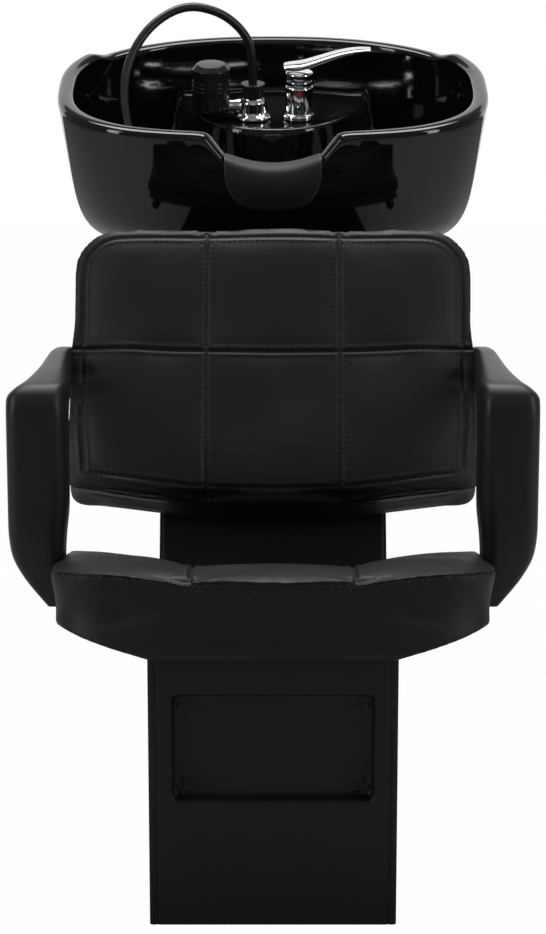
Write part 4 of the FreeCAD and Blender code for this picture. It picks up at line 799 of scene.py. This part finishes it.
def arm_grid(side):
    """The arm: a rounded-rectangle section carried along stations that give its two edges, width and tuck."""
    front, rear, bottom, top, end = -0.370, -0.266, 0.366, 0.648, 0.062
    droop_start = -0.150
    post = np.linspace(0, 1, 9)[:-1]
    ease = np.minimum(1, post / 0.34)
    turn = np.linspace(0, np.pi / 2, 5)
    rest = np.linspace(0, 1, 11)[1:]

    def rail(foot_y, post_y, high, bend):
        """One edge of the arm in side view: up the post, round the bend and back along the rest."""
        up = np.stack([foot_y + (post_y - foot_y) * ease, bottom + (high - bend - bottom) * post], -1)
        over = np.stack([post_y + bend * (1 - np.cos(turn)), high - bend * (1 - np.sin(turn))], -1)
        run = over[-1, 0] + (end - over[-1, 0]) * rest
        droop = 0.040 * np.maximum(0, (run - droop_start) / (end - droop_start)) ** 1.5
        return np.concatenate([up, over, np.stack([run, high - droop], -1)])

    outer = rail(front + 0.015, front, top, 0.034)
    inner = rail(rear - 0.015, rear, top - 0.043, 0.034)
    rise = 0.018 + 0.046 * np.sin(np.pi / 2 * np.minimum(1, np.arange(10) / 8 / 0.34))
    share = np.linspace(0, 1, 13)
    fall = 0.0165 + 0.024 * (1 - share) + 0.0235 * (1 - np.minimum(1, share / 0.45)) ** 2
    width = np.concatenate([rise, fall])
    tuck = 0.004 + 0.006 * smooth_step(2.2, 4.5, np.arange(13))
    tuck = np.concatenate([tuck, 0.010 * (1 - np.minimum(1, rest / 0.5))])
    stations = eased(np.concatenate([outer, inner, width[:, None], tuck[:, None]], axis=1), 8, 12)
    stations, size = capped(stations)
    across, through = [size[:, None] * blunt(wave, 0.44) for wave in circle(72)]
    middle = (stations[:, :2] + stations[:, 2:4]) / 2
    half = (stations[:, :2] - stations[:, 2:4]) / 2
    broad = (stations[:, 4:5] + stations[:, 5:6]) / 2
    x = arm_inner - stations[:, 5:6] + broad * (1 + across)
    return np.stack([side * x, middle[:, :1] + half[:, :1] * through, middle[:, 1:] + half[:, 1:] * through], -1)


moulded = grained("moulded_foam", (0.009, 0.009, 0.0092), cells=1400, gloss=(0.36, 0.46), strength=0.12,
                  depth=0.0003, Specular_IOR_Level=0.35)
for label, side in (("left", -1), ("right", 1)):
    dress(skin("arm_" + label, arm_grid(side), closed=True), moulded, "chair", "arm", "armrest_" + label)


# TILTING MOUNT
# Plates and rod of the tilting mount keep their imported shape. Nylon washers sit between the plates, and rubber pads
# between the upper plate and the bowl.

nylon = grained("nylon", (0.6, 0.58, 0.52), cells=900, gloss=(0.4, 0.55), strength=0.05, depth=0.0002)
paint_nodes(nylon, "friction_washers")
rubber = grained("rubber", (0.011, 0.011, 0.011), cells=1600, gloss=(0.5, 0.62), strength=0.15, depth=0.0002,
                 Specular_IOR_Level=0.35)
paint_nodes(rubber, "bowl_pads", "drain_gasket")


# BOWL
# One fired piece with a gloss black glaze: an oval basin with a rolled rim that dips in front for the neck and steps
# down behind, and a tongue at the back that carries the fittings. Four bolts and pads hold it to the mount.

bowl_lean = 11
bowl_frame = local_frame((0, 0.370, 0.947), bowl_lean)
bowl_half = np.array([0.309, 0.268])
bowl_depth = 0.2225
basin_depth = 0.205
foot_shift = -0.0214
rim_ring = 0.024
rim_lip = 0.010
deck_height = -0.093


def oval(angle):
    """Unit oval, squarer in front than behind."""
    cosine, sine = np.cos(angle), np.sin(angle)
    power = np.where(sine < 0, 2 / 3.2, 2 / 2.25)
    return blunt(cosine, power), blunt(sine, power)


def softer_max(a, b, width):
    """The larger of two, with a rounded change-over."""
    return (a + b + np.sqrt((a - b) ** 2 + width * width)) / 2


def rim_height(x, y):
    """Height of the rim's top: zero, less the neck notch in front and the step behind."""
    ramp = (np.abs(x) - 0.060) / 0.035
    ramp = -softer_max(-softer_max(ramp, 0, 0.35), -1, 0.18)
    front = -0.054 * (1 - np.clip(ramp, 0, 1)) * (y < 0)
    return front - 0.011 * smooth_step(0.125, 0.170, y)


def outer_share(depth, taper, foot, power):
    """Width of the outside at a share of its depth: a slight taper times a quarter-round into the foot."""
    return (1 - taper * depth) * (foot + (1 - foot) * np.sqrt(np.clip(1 - depth ** power, 0, 1)))


def leaned(x, y, z, fall, shift):
    """A level ring leaned about its own middle so that its rear goes down, and shifted."""
    return np.stack(np.broadcast_arrays(x, y * np.cos(fall) + shift, z - y * np.sin(fall)), -1)


def tongue_height(x, y):
    """Height of the tongue that carries the fittings: level inside an oval and steep outside it."""
    out = (np.hypot(x / 0.140, (y - 0.215) / 0.175) - 1) * 0.155
    return deck_height - 5 * (softer_max(out, 0, 0.006) - 0.003 * np.exp(-np.abs(out) / 0.01))


def bowl_grid():
    """The bowl as one closed skin: underside, outer wall, rolled rim, inner wall, floor and tongue, row after row."""
    turns = np.linspace(0, 1, 2001)
    thick = 1 + 2.2 * bell(turns - 0.75, 0.055)
    spread = np.concatenate([[0], np.cumsum((thick[1:] + thick[:-1]) / 2)])
    angle = 2 * np.pi * np.interp(np.linspace(0, spread[-1], 360, endpoint=False), spread, turns)
    u, v = oval(angle)
    x0, y0 = u * bowl_half[0], v * bowl_half[1]
    top = rim_height(x0, y0)
    fall = math.radians(bowl_lean)
    sole_rows, wall_rows, lip_rows = 13, 44, 15

    def outside(depth):
        """A ring of the outer wall at a share of its depth."""
        x = x0 * outer_share(depth, 0.10, 0.822, 8.15)
        y = y0 * outer_share(depth, 0.075, 0.62, 3.5)
        return leaned(x, y, -bowl_depth * depth, fall * depth ** 2.2, foot_shift * depth ** 3)

    def inside(depth):
        """A ring of the inner wall at a share of its depth."""
        share = outer_share(depth, 0.043, 0.70, 4)
        x, y = u * (bowl_half[0] - rim_ring) * share, v * (bowl_half[1] - rim_ring) * share
        return leaned(x, y, -basin_depth * depth, fall * depth ** 2.5, foot_shift * depth ** 3)

    sole = outside(np.ones_like(u))
    rows = [sole.mean(0) + (sole - sole.mean(0)) * share for share in np.linspace(0, 1, sole_rows + 1)[:-1]]
    start = (rim_lip - top) / bowl_depth
    rows += [outside(1 - (1 - start) * (1 - np.cos(np.pi / 2 * share))) for share in np.linspace(0, 1, wall_rows)]
    start = (rim_lip - top) / basin_depth
    lip_out, lip_in = rows[-1], inside(start)
    for turn in np.linspace(0, np.pi, lip_rows + 2)[1:-1]:
        across = (1 - blunt(np.cos(turn), 0.75)) / 2
        lift = np.array([0, 0, np.sin(turn) ** 0.75 * rim_lip])
        rows.append(lip_out + (lip_in - lip_out) * across + lift)
    rows += [inside(1 - (1 - start) * (1 - np.cos(np.pi / 2 * share))) for share in np.linspace(1, 0, 56)]
    base = rows[-1]
    rows += [base.mean(0) + (base - base.mean(0)) * share for share in np.linspace(1, 0, 60)[1:]]
    grid = np.stack(rows)
    inner = np.arange(len(rows)) > sole_rows + wall_rows + lip_rows
    tongue = softer_max(grid[..., 2], tongue_height(grid[..., 0], grid[..., 1]), 0.008)
    grid[inner, :, 2] = tongue[inner]
    return to_world(grid, bowl_frame)


def uneven_gloss(material, scale, detail, low, high):
    """Gives a material patches of gloss, with a roughness from low to high, and returns their noise."""
    tree = material.node_tree
    place = add_node(tree, "ShaderNodeTexCoord")
    noise = add_node(tree, "ShaderNodeTexNoise", Scale=scale, Detail=detail)
    gloss = add_node(tree, "ShaderNodeMapRange", To_Min=low, To_Max=high)
    join(tree, (place.outputs["Object"], noise.inputs["Vector"]), (noise.outputs["Fac"], gloss.inputs["Value"]),
         (gloss.outputs["Result"], tree.nodes["Principled BSDF"].inputs["Roughness"]))
    return noise.outputs["Fac"]


def glaze_finish():
    """Gloss black glaze: a faint unevenness of the surface and slow patches of gloss."""
    material = finish("black_glaze", Base_Color=(0.003, 0.003, 0.0033, 1), Specular_IOR_Level=0.5)
    swell = uneven_gloss(material, scale=22, detail=2, low=0.04, high=0.09)
    tree = material.node_tree
    bump = add_node(tree, "ShaderNodeBump", Strength=0.06, Distance=0.004)
    join(tree, (swell, bump.inputs["Height"]),
         (bump.outputs["Normal"], tree.nodes["Principled BSDF"].inputs["Normal"]))
    return material


dress(skin("bowl_shell", bowl_grid(), closed=True), glaze_finish(), "bowl", "glaze", "bowl")


# NECK REST
# A moulded rubber saddle pushed over the notch: a rounded flap hangs down in front, the saddle covers the edge, and a
# short lip goes down inside.


def neck_rest_grid():
    """The saddle: a flat rounded section carried over the notch, from the foot of the flap to the end of the lip."""
    front = np.array([-0.2725, 0])
    path = front + np.array([(9, -109), (0.5, -92), (-3, -76), (-3, -63), (2, -53.5), (12, -50.5), (26, -50.5),
                             (37, -55), (41, -64), (41, -74)]) / 1000
    way = np.linspace(0, 1, len(path))[:, None]
    fine = eased(np.concatenate([path, way], axis=1), 10, 30)
    spine, way = fine[:, :2], fine[:, 2]
    run = np.gradient(spine, axis=0)
    run /= np.linalg.norm(run, axis=1, keepdims=True)
    normal = np.stack([-run[:, 1], run[:, 0]], -1)
    ends = np.clip(way / 0.40, 0, 1)
    half = 0.067 * (1 - (1 - ends) ** 2.4) ** (1 / 2.4) * (1 - 0.10 * smooth_step(0.7, 1.0, way))
    thin = 0.0048 * np.minimum(1, np.sqrt(np.clip(np.minimum(way / 0.04, (1 - way) / 0.05), 0, 1)))
    across, through = [blunt(wave, 0.7) for wave in circle(64)]
    x = half[:, None] * across
    through = thin[:, None] * through
    dip = x * x / 0.26 * smooth_step(0.05, 0.5, way)[:, None]
    y = spine[:, :1] + normal[:, :1] * through
    z = spine[:, 1:] + normal[:, 1:] * through + dip
    return to_world(np.stack([x, y, z], -1), bowl_frame)


dress(skin("neck_saddle", neck_rest_grid(), closed=True), rubber, "bowl", "rubber", "neck_rest")


# DRAIN
# A chromed flange and a loose strainer plate in the basin floor. A brass nut holds the flange from below, where a
# white tube leads the water away.

chrome = finish("chrome", Base_Color=(0.82, 0.82, 0.84, 1), Metallic=1.0)
uneven_gloss(chrome, scale=120, detail=5, low=0.03, high=0.10)
paint_nodes(chrome, "drain_flange", "hair_strainer")
brass = grained("brass", (0.7, 0.52, 0.24), cells=500, gloss=(0.25, 0.4), strength=0.03, depth=0.0001, Metallic=1.0)
paint_nodes(brass, "drain_nut", "mixer_nut", "breaker_nut")
tube_white = grained("white_tube", (0.8, 0.8, 0.79), cells=1200, gloss=(0.35, 0.45), strength=0.03, depth=0.0001)
paint_nodes(tube_white, "drain_tailpiece")


# MIXER
# Chromed brass, turned and polished: a foot ring, a body, a bonnet, a hub that turns and a blade lever that lifts.
# The shank goes down through the deck.


def deck_frame(x, y):
    """The frame of a fitting on the bowl's deck."""
    return local_frame(to_world(np.array([x, y, deck_height]), bowl_frame), bowl_lean)


mixer_frame = deck_frame(0.039, 0.108)
hub_top = 0.0705


def rounded_profile(corners, radius, steps=6):
    """A turned profile with its inner corners rounded: each corner gives way to a quadratic curve."""
    corners = np.asarray(corners, float)
    before, here, after = corners[:-2], corners[1:-1], corners[2:]
    back, ahead = before - here, after - here
    back_run = np.linalg.norm(back, axis=1, keepdims=True)
    ahead_run = np.linalg.norm(ahead, axis=1, keepdims=True)
    start = here + back / back_run * np.minimum(radius, back_run * 0.49)
    end = here + ahead / ahead_run * np.minimum(radius, ahead_run * 0.49)
    t = np.linspace(0, 1, steps)[None, :, None]
    curve = start[:, None] * (1 - t) ** 2 + here[:, None] * 2 * t * (1 - t) + end[:, None] * t ** 2
    return np.concatenate([corners[:1], curve.reshape(-1, 2), corners[-1:]])


def turned(name, corners, radius, place):
    """A turned piece: the rounded profile of radii and heights swung round the upright axis of its frame."""
    profile = rounded_profile(corners, radius)
    cosine, sine = circle(64)
    grid = np.stack([profile[:, :1] * cosine, profile[:, :1] * sine, profile[:, 1:] + 0 * sine], -1)
    return skin(name, to_world(grid, place), closed=True)


for name, corners, radius, body, node in (
        ("mixer_foot", [(0, 0), (0.025, 0), (0.025, 0.0055), (0.0228, 0.009), (0, 0.009)],
         0.0018, "bowl", "mixer_flange"),
        ("mixer_barrel", [(0, -0.062), (0.016, -0.062), (0.016, 0.009), (0.021, 0.009), (0.021, 0.049), (0, 0.049)],
         0.0025, "bowl", "mixer_body"),
        ("mixer_bonnet_ring", [(0, 0.049), (0.019, 0.049), (0.019, 0.0578), (0, 0.0578)],
         0.002, "bowl", "mixer_bonnet"),
        ("mixer_turning_hub", [(0, 0.0585), (0.0205, 0.0585), (0.0205, hub_top), (0, hub_top)],
         0.003, "mixer_handle", "mixer_hub")):
    dress(turned(name, corners, radius, mixer_frame), chrome, body, "chrome", node)


def lever_grid():
    """The lever: rounded sections carried along a line that rises from the hub and flattens at its tip. Each station
    has its reach, height, width and thickness in millimetres."""
    table = np.array([(-23, 7.5, 24, 8), (-13, 8, 34, 10.5), (4, 9, 36, 10.5), (30, 18, 32, 9.5), (60, 28, 28, 8),
                      (86, 33, 25, 6.5), (105, 33.5, 19, 4.5)]) / 1000
    rows, size = capped(eased(table, 10, 30))
    cosine, sine = circle(48)
    y = rows[:, 2:3] / 2 * size[:, None] * blunt(cosine, 0.6)
    z = hub_top + rows[:, 1:2] + rows[:, 3:4] / 2 * size[:, None] * blunt(sine, 0.7)
    return to_world(np.stack([rows[:, :1] + 0 * y, y, z], -1), mixer_frame)


dress(skin("mixer_blade", lever_grid(), closed=True), chrome, "lever", "chrome", "mixer_lever")
red = grained("red_mark", (0.6, 0.02, 0.02), cells=2000, gloss=(0.25, 0.3), strength=0.02, depth=0.0001)
paint_nodes(red, "temperature_marker")


# VACUUM BREAKER
# A chromed body on the deck with a side arm; a black air cap with grip grooves stands on the arm, and a black swivel
# nut holds the hose on top of the body.

breaker_frame = deck_frame(-0.030, 0.110)
cap_frame = deck_frame(-0.092, 0.110)
gloss_black = grained("gloss_black_plastic", (0.010, 0.010, 0.0105), cells=1500, gloss=(0.2, 0.3), strength=0.03,
                      depth=0.0002)


def breaker_arm_grid():
    """The side arm: a round bar from the body to the cap, with a bulge halfway."""
    reach = np.linspace(-0.040, 0.0, 12)[:, None]
    cosine, sine = circle(40)
    radius = 0.0095 + 0.0016 * bell(reach + 0.020, 0.006)
    grid = np.stack([reach + 0 * sine, radius * cosine, 0.017 + radius * sine], -1)
    return to_world(grid, breaker_frame)


body_profile = [(0, -0.044), (0.009, -0.044), (0.009, 0), (0.029, 0), (0.029, 0.0045), (0.022, 0.009), (0.020, 0.026),
                (0.015, 0.031), (0, 0.031)]
dress(turned("breaker_barrel", body_profile, 0.0022, breaker_frame), chrome, "bowl", "chrome", "breaker_body")
dress(skin("breaker_arm", breaker_arm_grid(), closed=True), chrome, "bowl", "chrome")
cap_r, groove_r, groove_width = 0.0285, 0.0265, 0.002
cap_profile = [(0, 0.013), (groove_r, 0.013), (cap_r, 0.016)]
for low in (0.0447, 0.0510, 0.0572):
    high = low + groove_width
    cap_profile += [(cap_r, low), (groove_r, low), (groove_r, high), (cap_r, high)]
cap_profile += [(cap_r, 0.0745), (0.021, 0.082), (0, 0.082)]
dress(turned("breaker_air_cap", cap_profile, 0.0009, cap_frame), gloss_black, "bowl", "black_plastic", "breaker_cap")
nut_profile = [(0, 0.031), (0.0155, 0.031), (0.0155, 0.048), (0.018, 0.048), (0.018, 0.052), (0.0065, 0.052),
               (0, 0.052)]
dress(turned("hose_swivel", nut_profile, 0.001, breaker_frame), gloss_black, "bowl", "black_plastic", "hose_nut")


# HOSE AND HAND SPRAY
# A smooth black hose goes up from the swivel nut, over the deck and down into the basin, where the hand spray lies on
# the floor. It is about 0.675 m long and stiff enough to stand in one arch.

route = to_world(np.array([
    (-30.0, 110.0, -41.0), (-30.0, 110.0, 13.0), (-49.0, 108.6, 45.6), (-81.0, 102.8, 71.0), (-127.0, 89.0, 84.0),
    (-172.0, 66.8, 66.0), (-202.0, 39.9, 33.0), (-216.0, 8.2, -5.0), (-214.0, -31.4, -48.0), (-194.0, -74.2, -99.0),
    (-150.0, -121.7, -154.9), (-78.0, -150.8, -165.7), (-26.0, -153.3, -162.5)]) / 1000, bowl_frame)
hose_line = bpy.data.curves.new("hose", "CURVE")
hose_line.dimensions = "3D"
hose_line.bevel_depth = 0.0065
hose_line.bevel_resolution = 6
hose_line.use_fill_caps = True
spline = hose_line.splines.new("NURBS")
spline.points.add(len(route) - 1)
spline.points.foreach_set("co", np.concatenate([route, np.ones((len(route), 1))], axis=1).ravel())
spline.order_u = 3
spline.use_endpoint_u = True
spline.resolution_u = 12
hose = placed("hose", hose_line)
hose_skin = grained("hose_skin", (0.008, 0.008, 0.008), cells=1800, gloss=(0.28, 0.38), strength=0.05, depth=0.0002,
                    Specular_IOR_Level=0.45)
dress(hose, hose_skin, "bowl", "hose", "spray_hose")
paint_nodes(chrome, "spray_ferrule", "spray_face")
paint_nodes(gloss_black, "spray_handle", "spray_head")
